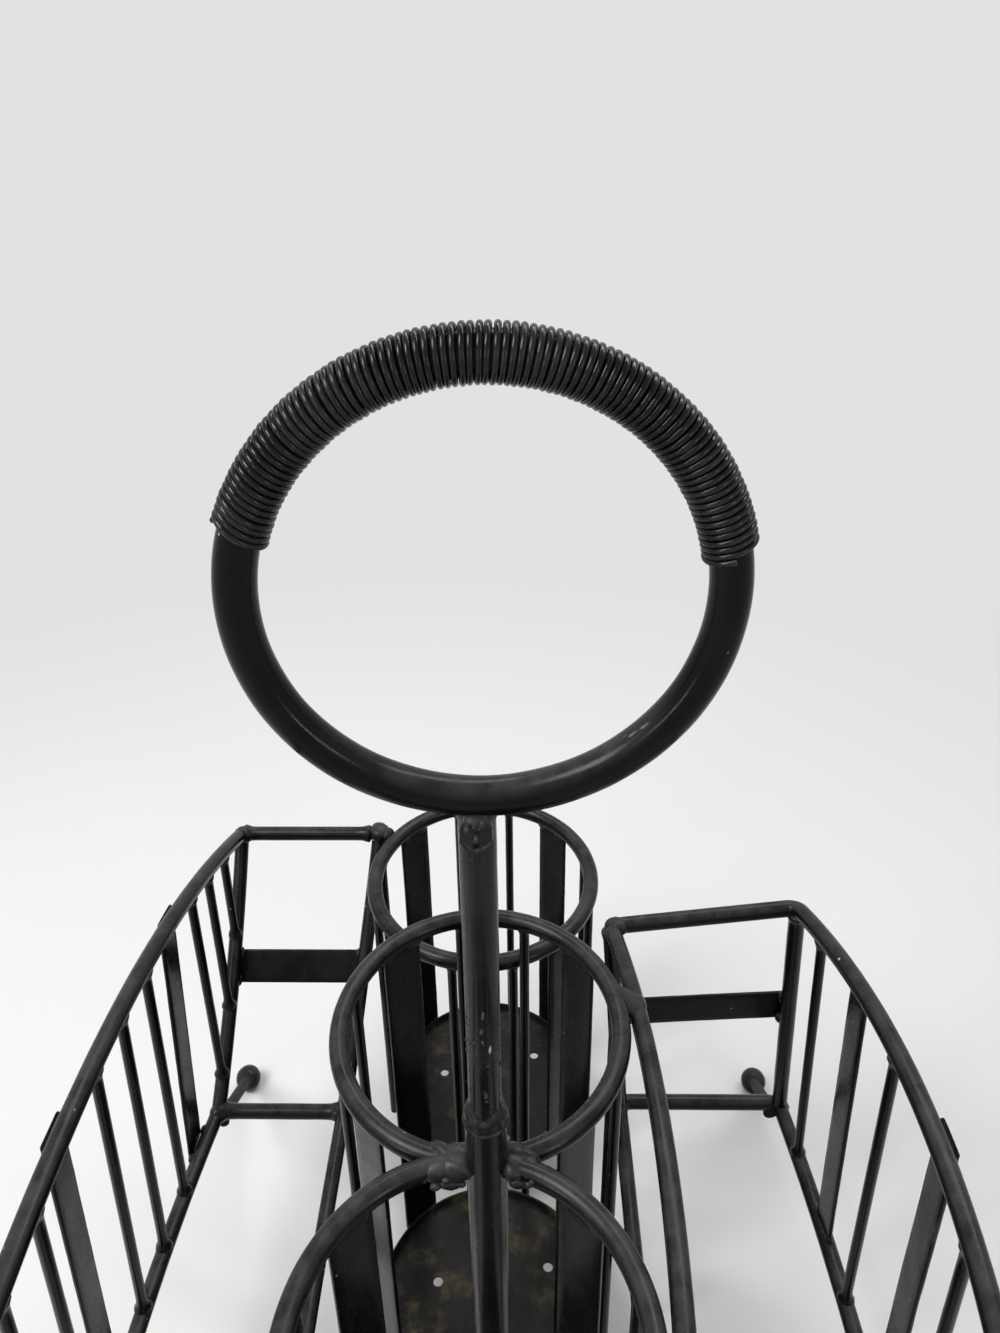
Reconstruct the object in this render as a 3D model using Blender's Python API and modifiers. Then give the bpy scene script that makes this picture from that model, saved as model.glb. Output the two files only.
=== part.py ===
"""Wrought-steel buffet caddy: a ring handle with a wire-wound grip on a centre post,
four round cups in a row, a plate rack on the left and a napkin rack on the right.

+Z up, +X to the napkin rack, +Y to the back. The origin is on the table, amid the feet.
All sizes in metres. Every joint is a weld: nothing moves.
"""

import math

import bmesh
import bpy
from mathutils import Matrix, Vector

# Clearance between neighbouring pieces.
GAP = 0.0003

# Stock.
FRAME_ROD = 0.00635
CUP_RING_ROD = 0.0066
THIN_ROD = 0.0038
LEG_ROD = 0.0049
POST_ROD = 0.0095
TUBE_OD = 0.012
CUP_STRIP_WIDTH = 0.0159
PLATE_STRIP_WIDTH = 0.0117
NAPKIN_STRIP_WIDTH = 0.0117
STRIP_THICKNESS = 0.0016

# Handle, post and tube.
HANDLE_ROD = 0.0095
HANDLE_RADIUS = 0.0528
HANDLE_HEIGHT = 0.3862
HANDLE_SHIFT = 0.0033
HANDLE_TURN = math.radians(3.4)
TUBE_ABOVE_RING = 0.024
TUBE_SOCKET = 0.020
TUBE_WALL = 0.0009

# Wire grip.
GRIP_WIRE = 0.0012
GRIP_TURNS = 60
GRIP_POINTS = 10
GRIP_START = math.radians(11.0)
GRIP_END = math.radians(163.5)

# Cups: two high ones beside the post, two low ones outside them.
CUP_RING_OD = 0.1016
HIGH_CUP_X = -0.00365
LOW_CUP_X = -0.0066
HIGH_RING_Z = 0.198
LOW_RING_Z = 0.1695
HIGH_CUP_TURN = math.radians(3.5)
LOW_CUP_TURN = math.radians(-1.5)
PAIR_ANGLE = math.radians(15.0)
CUP_FLOOR_Z = 0.0345
CUP_FLOOR_THICKNESS = 0.0013
CUP_FLOOR_RIM = 0.004
DRAIN_HOLE = 0.0042
DRAIN_RADIUS = 0.0245
DRAIN_COUNT = 3
DRAIN_TURN = math.radians(49.0)

# Plate rack, on the left: its sides flare out to the top and its outer rail is arched.
PLATE_PAST_CUP = 0.0277
PLATE_BASE_HALF = 0.1003
PLATE_BASE_Z = 0.078
PLATE_CORNER_Z = 0.170
PLATE_ARCH = 0.0418
PLATE_TOP_X = -0.1204
PLATE_TOP_BOW = 0.0028
PLATE_BASE_X = -0.1237
PLATE_BASE_BOW = 0.0064
PLATE_INNER_BASE_X = -0.0684
PLATE_END_BOW = 0.0045
PLATE_CORNER = 0.004
PLATE_WELD = 0.0110
PLATE_BAR_PITCH = 0.0213
PLATE_STRIP_TOP_Y = 0.0948
PLATE_STRIP_BASE_Y = 0.0842
PLATE_END_BAR_Y = 0.1098
PLATE_END_BAR_PITCH = 0.0192
PLATE_BAND_WIDTH = 0.0144
PLATE_BAND_HEIGHT = 0.0457

# Napkin rack, on the right: upright ends, an arched rim and a flat base loop.
NAPKIN_TOP_HALF = 0.1031
NAPKIN_BASE_HALF = 0.1072
NAPKIN_BASE_Z = 0.0763
NAPKIN_OUTER_RISE = 0.0100
NAPKIN_OUTER_ARCH = 0.0160
NAPKIN_RAIL_DROP = 0.0125
NAPKIN_INNER_ARCH = 0.0115
NAPKIN_TOP_X = 0.1173
NAPKIN_TOP_BOW = 0.0114
NAPKIN_BASE_X = 0.1238
NAPKIN_BASE_BOW = 0.0062
NAPKIN_INNER_BASE_X = 0.0535
NAPKIN_INNER_BOW = 0.0075
NAPKIN_CORNER = 0.005
NAPKIN_POST_INSET = 0.0015
NAPKIN_BAR_PITCH = 0.0278
NAPKIN_STRIP_TOP_Y = 0.0550
NAPKIN_STRIP_BASE_Y = 0.0527
NAPKIN_BAND_WIDTH = 0.0146
NAPKIN_BAND_SHARE = 0.511
NAPKIN_WELD = 0.0095

# Feet.
BALL = 0.0127
BALL_FLAT = 0.0004
FOOT_SPREAD = 0.2697
FOOT_OFFSET = 0.00195
FOOT_Y = 0.1702
PLATE_LEG_INSET = 0.0014
NAPKIN_LEG_INSET = 0.0036
LEG_PAST_CORNER = 0.0038
LEG_LAP = 0.005
LEG_BEND = 0.005

# Facets.
ROD_SIDES = 2
LOOP_STEP = 0.021
END_STEPS = 5
BEND_STEPS = 4

ring_radius = (CUP_RING_OD - CUP_RING_ROD) / 2
tube_top = HIGH_RING_Z + TUBE_ABOVE_RING
napkin_inner_z = HIGH_RING_Z - NAPKIN_RAIL_DROP
napkin_outer_z = napkin_inner_z + NAPKIN_OUTER_RISE
high_cup_y = ring_radius

# A low cup's ring is welded to the nearer of the two bars at a high cup's back.
seat_angle = HIGH_CUP_TURN - PAIR_ANGLE
seat_x = HIGH_CUP_X + ring_radius * math.sin(seat_angle)
seat_y = high_cup_y + ring_radius * math.cos(seat_angle)
seat_reach = CUP_RING_OD / 2 + GAP + THIN_ROD / 2
low_cup_y = seat_y + math.sqrt(seat_reach**2 - (LOW_CUP_X - seat_x) ** 2)

# The plate rack's end rods are welded to the low cups' rings.
plate_top_half = low_cup_y + PLATE_PAST_CUP

floor_bottom = CUP_FLOOR_Z - CUP_FLOOR_THICKNESS
floor_radius = ring_radius - THIN_ROD / 2 - GAP
strip_radius = floor_radius + GAP + STRIP_THICKNESS / 2
lap = FRAME_ROD / 2 + GAP + STRIP_THICKNESS / 2

for old in list(bpy.data.objects):
    bpy.data.objects.remove(old, do_unlink=True)

caddy = bpy.data.collections.new("buffet_caddy")
cutters = bpy.data.collections.new("cutters")
bpy.context.scene.collection.children.link(caddy)
bpy.context.scene.collection.children.link(cutters)


def paint(name, colour, roughness, metallic):
    material = bpy.data.materials.new(name)
    material.use_nodes = True
    shader = material.node_tree.nodes["Principled BSDF"]
    shader.inputs["Base Color"].default_value = (*colour, 1.0)
    shader.inputs["Roughness"].default_value = roughness
    shader.inputs["Metallic"].default_value = metallic
    return material


rod_paint = paint("black_rod_paint", (0.012, 0.012, 0.013), 0.38, 0.1)
strip_paint = paint("black_strip_paint", (0.015, 0.015, 0.016), 0.34, 0.1)
wire_paint = paint("black_wire", (0.008, 0.008, 0.009), 0.28, 0.2)
floor_paint = paint("black_floor_paint", (0.020, 0.018, 0.015), 0.6, 0.1)
handle_paint = paint("black_handle_paint", (0.010, 0.010, 0.011), 0.35, 0.1)


def keep(obj, name, material, collection=caddy):
    """Names an object, gives it its material and puts it in its collection."""
    for home in list(obj.users_collection):
        home.objects.unlink(obj)
    collection.objects.link(obj)
    obj.name = name
    obj.data.name = name
    obj.data.materials.clear()
    obj.data.materials.append(material)
    if collection is cutters:
        obj.hide_render = True
        obj.display_type = "WIRE"
    return obj


def smooth(obj, angle=40.0):
    obj.data.shade_smooth()
    obj.data.set_sharp_from_angle(angle=math.radians(angle))


def rod(name, points, diameter, material, cyclic=False, sides=ROD_SIDES, collection=caddy):
    """A round rod along a list of points: a bevelled curve with filled caps, made a mesh."""
    curve = bpy.data.curves.new(name + "_path", "CURVE")
    curve.dimensions = "3D"
    curve.bevel_depth = diameter / 2
    curve.bevel_resolution = sides
    curve.use_fill_caps = True
    spline = curve.splines.new("POLY")
    spline.points.add(len(points) - 1)
    for slot, point in zip(spline.points, points):
        slot.co = (*point, 1.0)
    spline.use_cyclic_u = cyclic
    path = bpy.data.objects.new(name + "_path", curve)
    caddy.objects.link(path)
    bpy.context.view_layer.update()
    graph = bpy.context.evaluated_depsgraph_get()
    mesh = bpy.data.meshes.new_from_object(path.evaluated_get(graph))
    weld = bmesh.new()
    weld.from_mesh(mesh)
    bmesh.ops.remove_doubles(weld, verts=weld.verts, dist=0.00001)
    bmesh.ops.recalc_face_normals(weld, faces=weld.faces)
    weld.to_mesh(mesh)
    weld.free()
    obj = bpy.data.objects.new(name, mesh)
    obj.matrix_world = path.matrix_world
    bpy.data.objects.remove(path, do_unlink=True)
    keep(obj, name, material, collection)
    smooth(obj)
    return obj


def bar(name, start, end, diameter, material, vertices=8, collection=caddy):
    """A straight round bar between two points."""
    start = Vector(start)
    end = Vector(end)
    bpy.ops.mesh.primitive_cylinder_add(
        vertices=vertices, radius=diameter / 2, depth=(end - start).length
    )
    obj = bpy.context.object
    turn = (end - start).to_track_quat("Z", "Y").to_matrix().to_4x4()
    obj.matrix_world = Matrix.Translation((start + end) / 2) @ turn
    keep(obj, name, material, collection)
    smooth(obj)
    return obj


def strip(name, start, end, width, across, material):
    """A flat strip between two points, its width along the direction across."""
    start = Vector(start)
    end = Vector(end)
    along = (end - start).normalized()
    side = (Vector(across) - along * along.dot(Vector(across))).normalized()
    out = along.cross(side)
    bpy.ops.mesh.primitive_cube_add(size=1.0)
    obj = bpy.context.object
    obj.data.transform(Matrix.Diagonal((width, STRIP_THICKNESS, (end - start).length, 1.0)))
    turn = Matrix((side, -out, along)).transposed().to_4x4()
    obj.matrix_world = Matrix.Translation((start + end) / 2) @ turn
    return keep(obj, name, material)


def boolean(obj, other, operation):
    step = obj.modifiers.new(operation.lower() + "_" + other.name, "BOOLEAN")
    step.operation = operation
    step.object = other
    step.solver = "EXACT"


def fuse(obj, others):
    """Joins bars into one helper and welds it to the piece that carries them."""
    for other in others[1:]:
        others[0].data.materials.clear()
        part = bmesh.new()
        part.from_mesh(others[0].data)
        added = other.data.copy()
        added.transform(others[0].matrix_world.inverted() @ other.matrix_world)
        part.from_mesh(added)
        part.to_mesh(others[0].data)
        part.free()
        bpy.data.objects.remove(other, do_unlink=True)
    boolean(obj, others[0], "UNION")


def bend(points, corners, radius, cyclic=False):
    """Rounds the corners of a path, given by their indices, with arcs."""
    path = []
    count = len(points)
    for index, point in enumerate(points):
        if index not in corners:
            path.append(Vector(point))
            continue
        here = Vector(point)
        back = (Vector(points[(index - 1) % count]) - here).normalized()
        ahead = (Vector(points[(index + 1) % count]) - here).normalized()
        half = back.angle(ahead) / 2
        reach = radius / math.tan(half)
        centre = here + (back + ahead).normalized() * (radius / math.sin(half))
        first = here + back * reach - centre
        sweep = math.pi - 2 * half
        axis = first.cross(here + ahead * reach - centre).normalized()
        for step in range(BEND_STEPS + 1):
            turn = Matrix.Rotation(sweep * step / BEND_STEPS, 3, axis)
            path.append(centre + turn @ first)
    return path


def bowed(position, half, edge, bow):
    """A shallow bow: edge at both ends of a rail, edge + bow at its middle."""
    return edge + bow * (1 - (position / half) ** 2)


def along_rails(top, base, head_y, foot_y, width):
    """The level direction of a side's rails, from chords as long as the strip is wide."""
    chord = Vector((0, 0, 0))
    for rail, y in ((top, head_y), (base, foot_y)):
        chord += rail(y + width / 2) - rail(y - width / 2)
    chord.z = 0
    return chord.normalized()


def steps(start, end, size):
    """Evenly spaced values from start up to, but not including, end."""
    count = max(2, round(abs(end - start) / size))
    return [start + (end - start) * index / count for index in range(count)]


# Centre post, lower tube and ring handle.
handle_bottom = HANDLE_HEIGHT - HANDLE_RADIUS - HANDLE_ROD / 2
post_foot = tube_top - TUBE_SOCKET + GAP
tube = bar(
    "lower_tube", (0, 0, floor_bottom), (0, 0, tube_top), TUBE_OD, rod_paint, vertices=20
)
socket = bar(
    "tube_socket",
    (0, 0, tube_top - TUBE_SOCKET),
    (0, 0, tube_top + TUBE_SOCKET),
    TUBE_OD - 2 * TUBE_WALL,
    rod_paint,
    vertices=20,
    collection=cutters,
)
boolean(tube, socket, "DIFFERENCE")
post_top = handle_bottom - GAP
rod("centre_post", [(0, 0, post_foot), (0, 0, post_top)], POST_ROD, handle_paint, sides=5)

bpy.ops.mesh.primitive_torus_add(
    major_radius=HANDLE_RADIUS,
    minor_radius=HANDLE_ROD / 2,
    major_segments=44,
    minor_segments=12,
)
handle = keep(bpy.context.object, "handle_ring", handle_paint)
handle_frame = (
    Matrix.Translation((HANDLE_SHIFT, 0, HANDLE_HEIGHT))
    @ Matrix.Rotation(HANDLE_TURN, 4, "Z")
    @ Matrix.Rotation(math.pi / 2, 4, "X")
)
handle.matrix_world = handle_frame
smooth(handle)


def grip_points():
    """The wound wire's centreline: one helix round the ring's rod, in the ring's own plane."""
    chord = math.cos(math.pi / GRIP_POINTS)
    radius = (HANDLE_ROD / 2 + GAP + GRIP_WIRE / 2) / chord
    total = GRIP_TURNS * GRIP_POINTS
    points = []
    for index in range(total + 1):
        share = index / total
        around = GRIP_START + (GRIP_END - GRIP_START) * share
        twist = 2 * math.pi * index / GRIP_POINTS
        reach = HANDLE_RADIUS + radius * math.cos(twist)
        points.append(
            Vector((reach * math.cos(around), reach * math.sin(around), radius * math.sin(twist)))
        )
    first = points[0] + (points[0] - points[1]).normalized() * GRIP_WIRE
    last = points[-1] + (points[-1] - points[-2]).normalized() * GRIP_WIRE
    return [first, *points, last]


wire_path = grip_points()
least = min(
    (wire_path[first] - wire_path[second]).length
    for first in range(1, len(wire_path) - 1)
    for second in range(first + GRIP_POINTS // 2 + 1, min(first + 2 * GRIP_POINTS, len(wire_path)))
)
print(f"least gap of the grip wire to itself: {(least - GRIP_WIRE) * 1000:.2f} mm")
grip = rod("grip_winding", wire_path, GRIP_WIRE, wire_paint, sides=1)
grip.matrix_world = handle_frame


# Cups: a ring on thin bars and flat strips, round a shallow dished floor.
def cup(number, side, x, y, z, turn, beside_post):
    def on_circle(angle, radius):
        return x + radius * math.sin(angle), side * (y + radius * math.cos(angle))

    bpy.ops.mesh.primitive_torus_add(
        major_radius=ring_radius,
        minor_radius=CUP_RING_ROD / 2,
        major_segments=40,
        minor_segments=8,
        location=(x, side * y, z),
    )
    cage = keep(bpy.context.object, f"cup_{number}_cage", rod_paint)
    smooth(cage)
    bars = []
    for quarter in range(4):
        if beside_post and quarter == 2:
            continue
        for sign in (-1, 1):
            at = on_circle(turn + quarter * math.pi / 2 + sign * PAIR_ANGLE, ring_radius)
            name = f"cup_{number}_bar_{len(bars)}"
            bars.append(bar(name, (*at, floor_bottom), (*at, z), THIN_ROD, rod_paint, 6, cutters))
    fuse(cage, bars)
    if beside_post:
        bpy.ops.mesh.primitive_cube_add(size=1.0)
        half = bpy.context.object
        half.data.transform(Matrix.Diagonal((CUP_RING_OD, CUP_RING_OD, HIGH_RING_Z, 1.0)))
        half.location = (x, -side * (CUP_RING_OD - GAP) / 2, HIGH_RING_Z)
        boolean(cage, keep(half, f"cup_{number}_half", rod_paint, cutters), "DIFFERENCE")
        boolean(cage, tube_room, "DIFFERENCE")
    for quarter in range(4):
        angle = turn + (quarter + 0.5) * math.pi / 2
        at = on_circle(angle, strip_radius)
        across = (math.cos(angle), -side * math.sin(angle), 0)
        top = z - CUP_RING_ROD / 2 - GAP
        strip(
            f"cup_{number}_strip_{quarter + 1}",
            (*at, floor_bottom),
            (*at, top),
            CUP_STRIP_WIDTH,
            across,
            strip_paint,
        )
    floor_of_cup(number, side, x, y, turn, beside_post)


def floor_of_cup(number, side, x, y, turn, beside_post):
    """A dished disc: a turned profile with an upturned rim and drain holes."""
    inner = floor_radius - CUP_FLOOR_THICKNESS
    profile = [
        (0.0, CUP_FLOOR_Z),
        (inner, CUP_FLOOR_Z),
        (inner, CUP_FLOOR_Z + CUP_FLOOR_RIM),
        (floor_radius, CUP_FLOOR_Z + CUP_FLOOR_RIM),
        (floor_radius, floor_bottom + CUP_FLOOR_THICKNESS / 2),
        (floor_radius - CUP_FLOOR_THICKNESS / 2, floor_bottom),
        (0.0, floor_bottom),
    ]
    mesh = bpy.data.meshes.new(f"cup_{number}_floor")
    mesh.from_pydata(
        [(radius, 0, height) for radius, height in profile],
        [(index, index + 1) for index in range(len(profile) - 1)],
        [],
    )
    disc = bpy.data.objects.new(f"cup_{number}_floor", mesh)
    disc.location = (x, side * y, 0)
    keep(disc, f"cup_{number}_floor", floor_paint)
    spin = disc.modifiers.new("turned", "SCREW")
    spin.axis = "Z"
    spin.angle = 2 * math.pi
    spin.steps = 28
    spin.render_steps = 28
    spin.use_merge_vertices = True
    spin.merge_threshold = 0.00005
    spin.use_smooth_shade = False
    holes = []
    for hole in range(DRAIN_COUNT):
        angle = turn + DRAIN_TURN + hole * 2 * math.pi / DRAIN_COUNT
        at = (x + DRAIN_RADIUS * math.sin(angle), side * (y + DRAIN_RADIUS * math.cos(angle)))
        name = f"cup_{number}_drain_{hole}"
        low = (*at, floor_bottom - CUP_FLOOR_THICKNESS)
        high = (*at, CUP_FLOOR_Z + CUP_FLOOR_THICKNESS)
        holes.append(bar(name, low, high, DRAIN_HOLE, floor_paint, 10, cutters))
    for hole in holes:
        boolean(disc, hole, "DIFFERENCE")
    if beside_post:
        boolean(disc, tube_room, "DIFFERENCE")


tube_room = bar(
    "tube_room",
    (0, 0, floor_bottom - TUBE_OD),
    (0, 0, tube_top + TUBE_OD),
    TUBE_OD + 2 * GAP,
    rod_paint,
    vertices=20,
    collection=cutters,
)
cup(1, 1, LOW_CUP_X, low_cup_y, LOW_RING_Z, LOW_CUP_TURN, False)
cup(2, 1, HIGH_CUP_X, high_cup_y, HIGH_RING_Z, HIGH_CUP_TURN, True)
cup(3, -1, HIGH_CUP_X, high_cup_y, HIGH_RING_Z, HIGH_CUP_TURN, True)
cup(4, -1, LOW_CUP_X, low_cup_y, LOW_RING_Z, LOW_CUP_TURN, False)


# Plate rack.
def plate_top(y):
    x = bowed(y, plate_top_half, PLATE_TOP_X, -PLATE_TOP_BOW)
    return Vector((x, y, bowed(y, plate_top_half, PLATE_CORNER_Z, PLATE_ARCH)))


def plate_base(y):
    return Vector((bowed(y, PLATE_BASE_HALF, PLATE_BASE_X, -PLATE_BASE_BOW), y, PLATE_BASE_Z))


def plate_end(share, side, top, base):
    """A point on a flared, slightly bowed end, from its top (0) to its base (1)."""
    point = Vector(top).lerp(Vector(base), share)
    slope = (Vector(base) - Vector(top)).normalized()
    out = Vector((0, side * abs(slope.z), -abs(slope.y)))
    return point + out * (4 * PLATE_END_BOW * share * (1 - share))


def plate_end_at(y, side, top, base):
    """The point of the outer end rod at a given distance from the middle."""
    low, high = 0.0, 1.0
    for _ in range(40):
        middle = (low + high) / 2
        if abs(plate_end(middle, side, top, base).y) > y:
            low = middle
        else:
            high = middle
    return plate_end(low, side, top, base)


outer_top = {side: plate_top(side * plate_top_half) for side in (-1, 1)}
outer_base = {side: plate_base(side * PLATE_BASE_HALF) for side in (-1, 1)}
weld_reach = CUP_RING_OD / 2 + GAP + PLATE_WELD / 2
inner_top_x = LOW_CUP_X - math.sqrt(weld_reach**2 - (plate_top_half - low_cup_y) ** 2)
inner_top = {side: Vector((inner_top_x, side * plate_top_half, PLATE_CORNER_Z)) for side in (-1, 1)}
inner_base = {
    side: Vector((PLATE_INNER_BASE_X, side * PLATE_BASE_HALF, PLATE_BASE_Z)) for side in (-1, 1)
}

loop = [plate_top(y) for y in steps(-plate_top_half, plate_top_half, LOOP_STEP)]
corners = {0, len(loop)}
shares = [index / END_STEPS for index in range(END_STEPS)]
loop += [plate_end(share, 1, outer_top[1], outer_base[1]) for share in shares]
corners.add(len(loop))
loop += [plate_base(y) for y in steps(PLATE_BASE_HALF, -PLATE_BASE_HALF, LOOP_STEP)]
corners.add(len(loop))
loop += [plate_end(1 - share, -1, outer_top[-1], outer_base[-1]) for share in shares]
plate_side = rod(
    "plate_rack_side", bend(loop, corners, PLATE_CORNER, True), FRAME_ROD, rod_paint, cyclic=True
)
plate_bar_y = [PLATE_BAR_PITCH * number for number in (1, 2, 3)]
plate_bar_y += [
    PLATE_END_BAR_Y + PLATE_END_BAR_PITCH * number for number in range(3)
]
plate_bars = []
for side in (-1, 1):
    for y in plate_bar_y:
        if y < PLATE_BASE_HALF:
            foot = plate_base(side * y)
        else:
            foot = plate_end_at(y, side, outer_top[side], outer_base[side])
        name = f"plate_rack_bar_{len(plate_bars)}"
        head = plate_top(side * y)
        plate_bars.append(bar(name, foot, head, THIN_ROD, rod_paint, 6, cutters))
fuse(plate_side, plate_bars)

for number, place in enumerate((1, 0, -1), 1):
    head_y = place * PLATE_STRIP_TOP_Y
    foot_y = place * PLATE_STRIP_BASE_Y
    run = along_rails(plate_top, plate_base, head_y, foot_y, PLATE_STRIP_WIDTH)
    out = Vector((-run.y, run.x, 0)) * (lap + GAP)
    strip(
        f"plate_rack_strip_{number}",
        plate_base(foot_y) + out - Vector((0, 0, FRAME_ROD / 2)),
        plate_top(head_y) + out,
        PLATE_STRIP_WIDTH,
        run,
        strip_paint,
    )

path = [plate_end(share, 1, inner_top[1], inner_base[1]) for share in shares]
corners = {len(path)}
path += [inner_base[1].lerp(inner_base[-1], share) for share in shares]
corners.add(len(path))
path += [plate_end(1 - share, -1, inner_top[-1], inner_base[-1]) for share in shares]
path.append(inner_top[-1])
plate_inner = rod("plate_rack_inner", bend(path, corners, PLATE_CORNER), FRAME_ROD, rod_paint)
welds = []
for side in (-1, 1):
    bpy.ops.mesh.primitive_uv_sphere_add(
        segments=12, ring_count=8, radius=PLATE_WELD / 2, location=inner_top[side]
    )
    welds.append(keep(bpy.context.object, f"plate_rack_weld_{len(welds)}", rod_paint, cutters))
fuse(plate_inner, welds)

ends = {1: "rear", -1: "front"}
for side, word in ends.items():
    side_reach = Vector((FRAME_ROD / 2 + GAP, 0, 0))
    weld_gap = Vector((PLATE_WELD / 2 + GAP, 0, 0))
    bar(
        f"plate_rack_{word}_top",
        outer_top[side] + side_reach,
        inner_top[side] - weld_gap,
        FRAME_ROD,
        rod_paint,
        vertices=10,
    )
    bar(
        f"plate_rack_{word}_base",
        outer_base[side] + side_reach,
        inner_base[side] - side_reach,
        FRAME_ROD,
        rod_paint,
        vertices=10,
    )
    share = 1 - PLATE_BAND_HEIGHT / (PLATE_CORNER_Z - PLATE_BASE_Z)
    left = plate_end(share, side, outer_top[side], outer_base[side])
    right = plate_end(share, side, inner_top[side], inner_base[side])
    slope = (outer_base[side] - outer_top[side]).normalized()
    out = Vector((0, side * abs(slope.z), -abs(slope.y))) * (lap + GAP)
    strip(
        f"plate_rack_{word}_band",
        left + out,
        right + out,
        PLATE_BAND_WIDTH,
        slope,
        strip_paint,
    )


# Napkin rack.
def napkin_top(y):
    x = bowed(y, NAPKIN_TOP_HALF, NAPKIN_TOP_X, NAPKIN_TOP_BOW)
    return Vector((x, y, bowed(y, NAPKIN_TOP_HALF, napkin_outer_z, NAPKIN_OUTER_ARCH)))


# The inner rail's two lumps of weld metal are seated against the high cups' rings.
rail_z = bowed(high_cup_y, NAPKIN_TOP_HALF, napkin_inner_z, NAPKIN_INNER_ARCH)
rail_reach = (CUP_RING_ROD + NAPKIN_WELD) / 2 + GAP
rail_side = math.sqrt(rail_reach**2 - (HIGH_RING_Z - rail_z) ** 2)
rail_at_cup = HIGH_CUP_X + ring_radius + rail_side
napkin_inner_x = rail_at_cup - NAPKIN_INNER_BOW * (1 - (high_cup_y / NAPKIN_TOP_HALF) ** 2)


def napkin_inner(y):
    x = bowed(y, NAPKIN_TOP_HALF, napkin_inner_x, NAPKIN_INNER_BOW)
    return Vector((x, y, bowed(y, NAPKIN_TOP_HALF, napkin_inner_z, NAPKIN_INNER_ARCH)))


def napkin_base(y):
    x = bowed(y, NAPKIN_BASE_HALF, NAPKIN_BASE_X, NAPKIN_BASE_BOW)
    return Vector((x, y, NAPKIN_BASE_Z))


rim = [napkin_top(y) for y in steps(-NAPKIN_TOP_HALF, NAPKIN_TOP_HALF, LOOP_STEP)]
corners = {0, len(rim)}
rim.append(napkin_top(NAPKIN_TOP_HALF))
corners.add(len(rim))
rim += [napkin_inner(y) for y in steps(NAPKIN_TOP_HALF, -NAPKIN_TOP_HALF, LOOP_STEP)]
corners.add(len(rim))
rim.append(napkin_inner(-NAPKIN_TOP_HALF))
napkin_rim = rod(
    "napkin_rack_rim", bend(rim, corners, NAPKIN_CORNER, True), FRAME_ROD, rod_paint, cyclic=True
)
welds = []
for side in (-1, 1):
    bpy.ops.mesh.primitive_uv_sphere_add(
        segments=12,
        ring_count=8,
        radius=NAPKIN_WELD / 2,
        location=napkin_inner(side * high_cup_y),
    )
    welds.append(keep(bpy.context.object, f"napkin_rack_weld_{len(welds)}", rod_paint, cutters))
fuse(napkin_rim, welds)

base = [napkin_base(y) for y in steps(-NAPKIN_BASE_HALF, NAPKIN_BASE_HALF, LOOP_STEP)]
corners = {0, len(base)}
base.append(napkin_base(NAPKIN_BASE_HALF))
corners.add(len(base))
base.append(Vector((NAPKIN_INNER_BASE_X, NAPKIN_BASE_HALF, NAPKIN_BASE_Z)))
corners.add(len(base))
base.append(Vector((NAPKIN_INNER_BASE_X, -NAPKIN_BASE_HALF, NAPKIN_BASE_Z)))
napkin_basket = rod(
    "napkin_rack_basket", bend(base, corners, NAPKIN_CORNER, True), FRAME_ROD, rod_paint, cyclic=True
)
below_rim = Vector((0, 0, FRAME_ROD / 2 + 2 * GAP))
uprights = []
for side in (-1, 1):
    tops = (napkin_top(side * NAPKIN_TOP_HALF), napkin_inner(side * NAPKIN_TOP_HALF))
    feet = (
        napkin_base(side * NAPKIN_BASE_HALF),
        Vector((NAPKIN_INNER_BASE_X, side * NAPKIN_BASE_HALF, NAPKIN_BASE_Z)),
    )
    shift = Vector((0, -side * NAPKIN_POST_INSET, 0))
    for top, foot in zip(tops, feet):
        name = f"napkin_rack_post_{len(uprights)}"
        head = top + shift - below_rim
        uprights.append(bar(name, foot + shift, head, FRAME_ROD - GAP, rod_paint, 8, cutters))
    for number in (1, 3):
        y = side * number * NAPKIN_BAR_PITCH
        name = f"napkin_rack_bar_{len(uprights)}"
        head = napkin_top(y) - below_rim
        uprights.append(bar(name, napkin_base(y), head, THIN_ROD, rod_paint, 6, cutters))
fuse(napkin_basket, uprights)

# The middle strip laps the rails outside; the other two stand between them.
for number, place in enumerate((1, 0, -1), 1):
    head_y = place * NAPKIN_STRIP_TOP_Y
    foot_y = place * NAPKIN_STRIP_BASE_Y
    run = along_rails(napkin_top, napkin_base, head_y, foot_y, NAPKIN_STRIP_WIDTH)
    if place:
        low = napkin_base(foot_y) + Vector((0, 0, FRAME_ROD / 2 + GAP))
        high = napkin_top(head_y)
        high.z = napkin_top(head_y + place * NAPKIN_STRIP_WIDTH / 2).z - FRAME_ROD / 2 - 2 * GAP
    else:
        out = Vector((run.y, -run.x, 0)) * (lap + GAP)
        low = napkin_base(foot_y) + out - Vector((0, 0, FRAME_ROD / 2))
        high = napkin_top(head_y) + out
    strip(f"napkin_rack_strip_{number}", low, high, NAPKIN_STRIP_WIDTH, run, strip_paint)

for side, word in ends.items():
    foot = Vector((NAPKIN_INNER_BASE_X, side * NAPKIN_BASE_HALF, NAPKIN_BASE_Z))
    left = foot.lerp(napkin_inner(side * NAPKIN_TOP_HALF), NAPKIN_BAND_SHARE)
    foot = napkin_base(side * NAPKIN_BASE_HALF)
    right = foot.lerp(napkin_top(side * NAPKIN_TOP_HALF), NAPKIN_BAND_SHARE)
    out = side * (lap + GAP - NAPKIN_POST_INSET)
    left += Vector((0, out, 0))
    right += Vector((0, out, 0))
    strip(f"napkin_rack_{word}_band", left, right, NAPKIN_BAND_WIDTH, (0, 0, 1), strip_paint)

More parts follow.
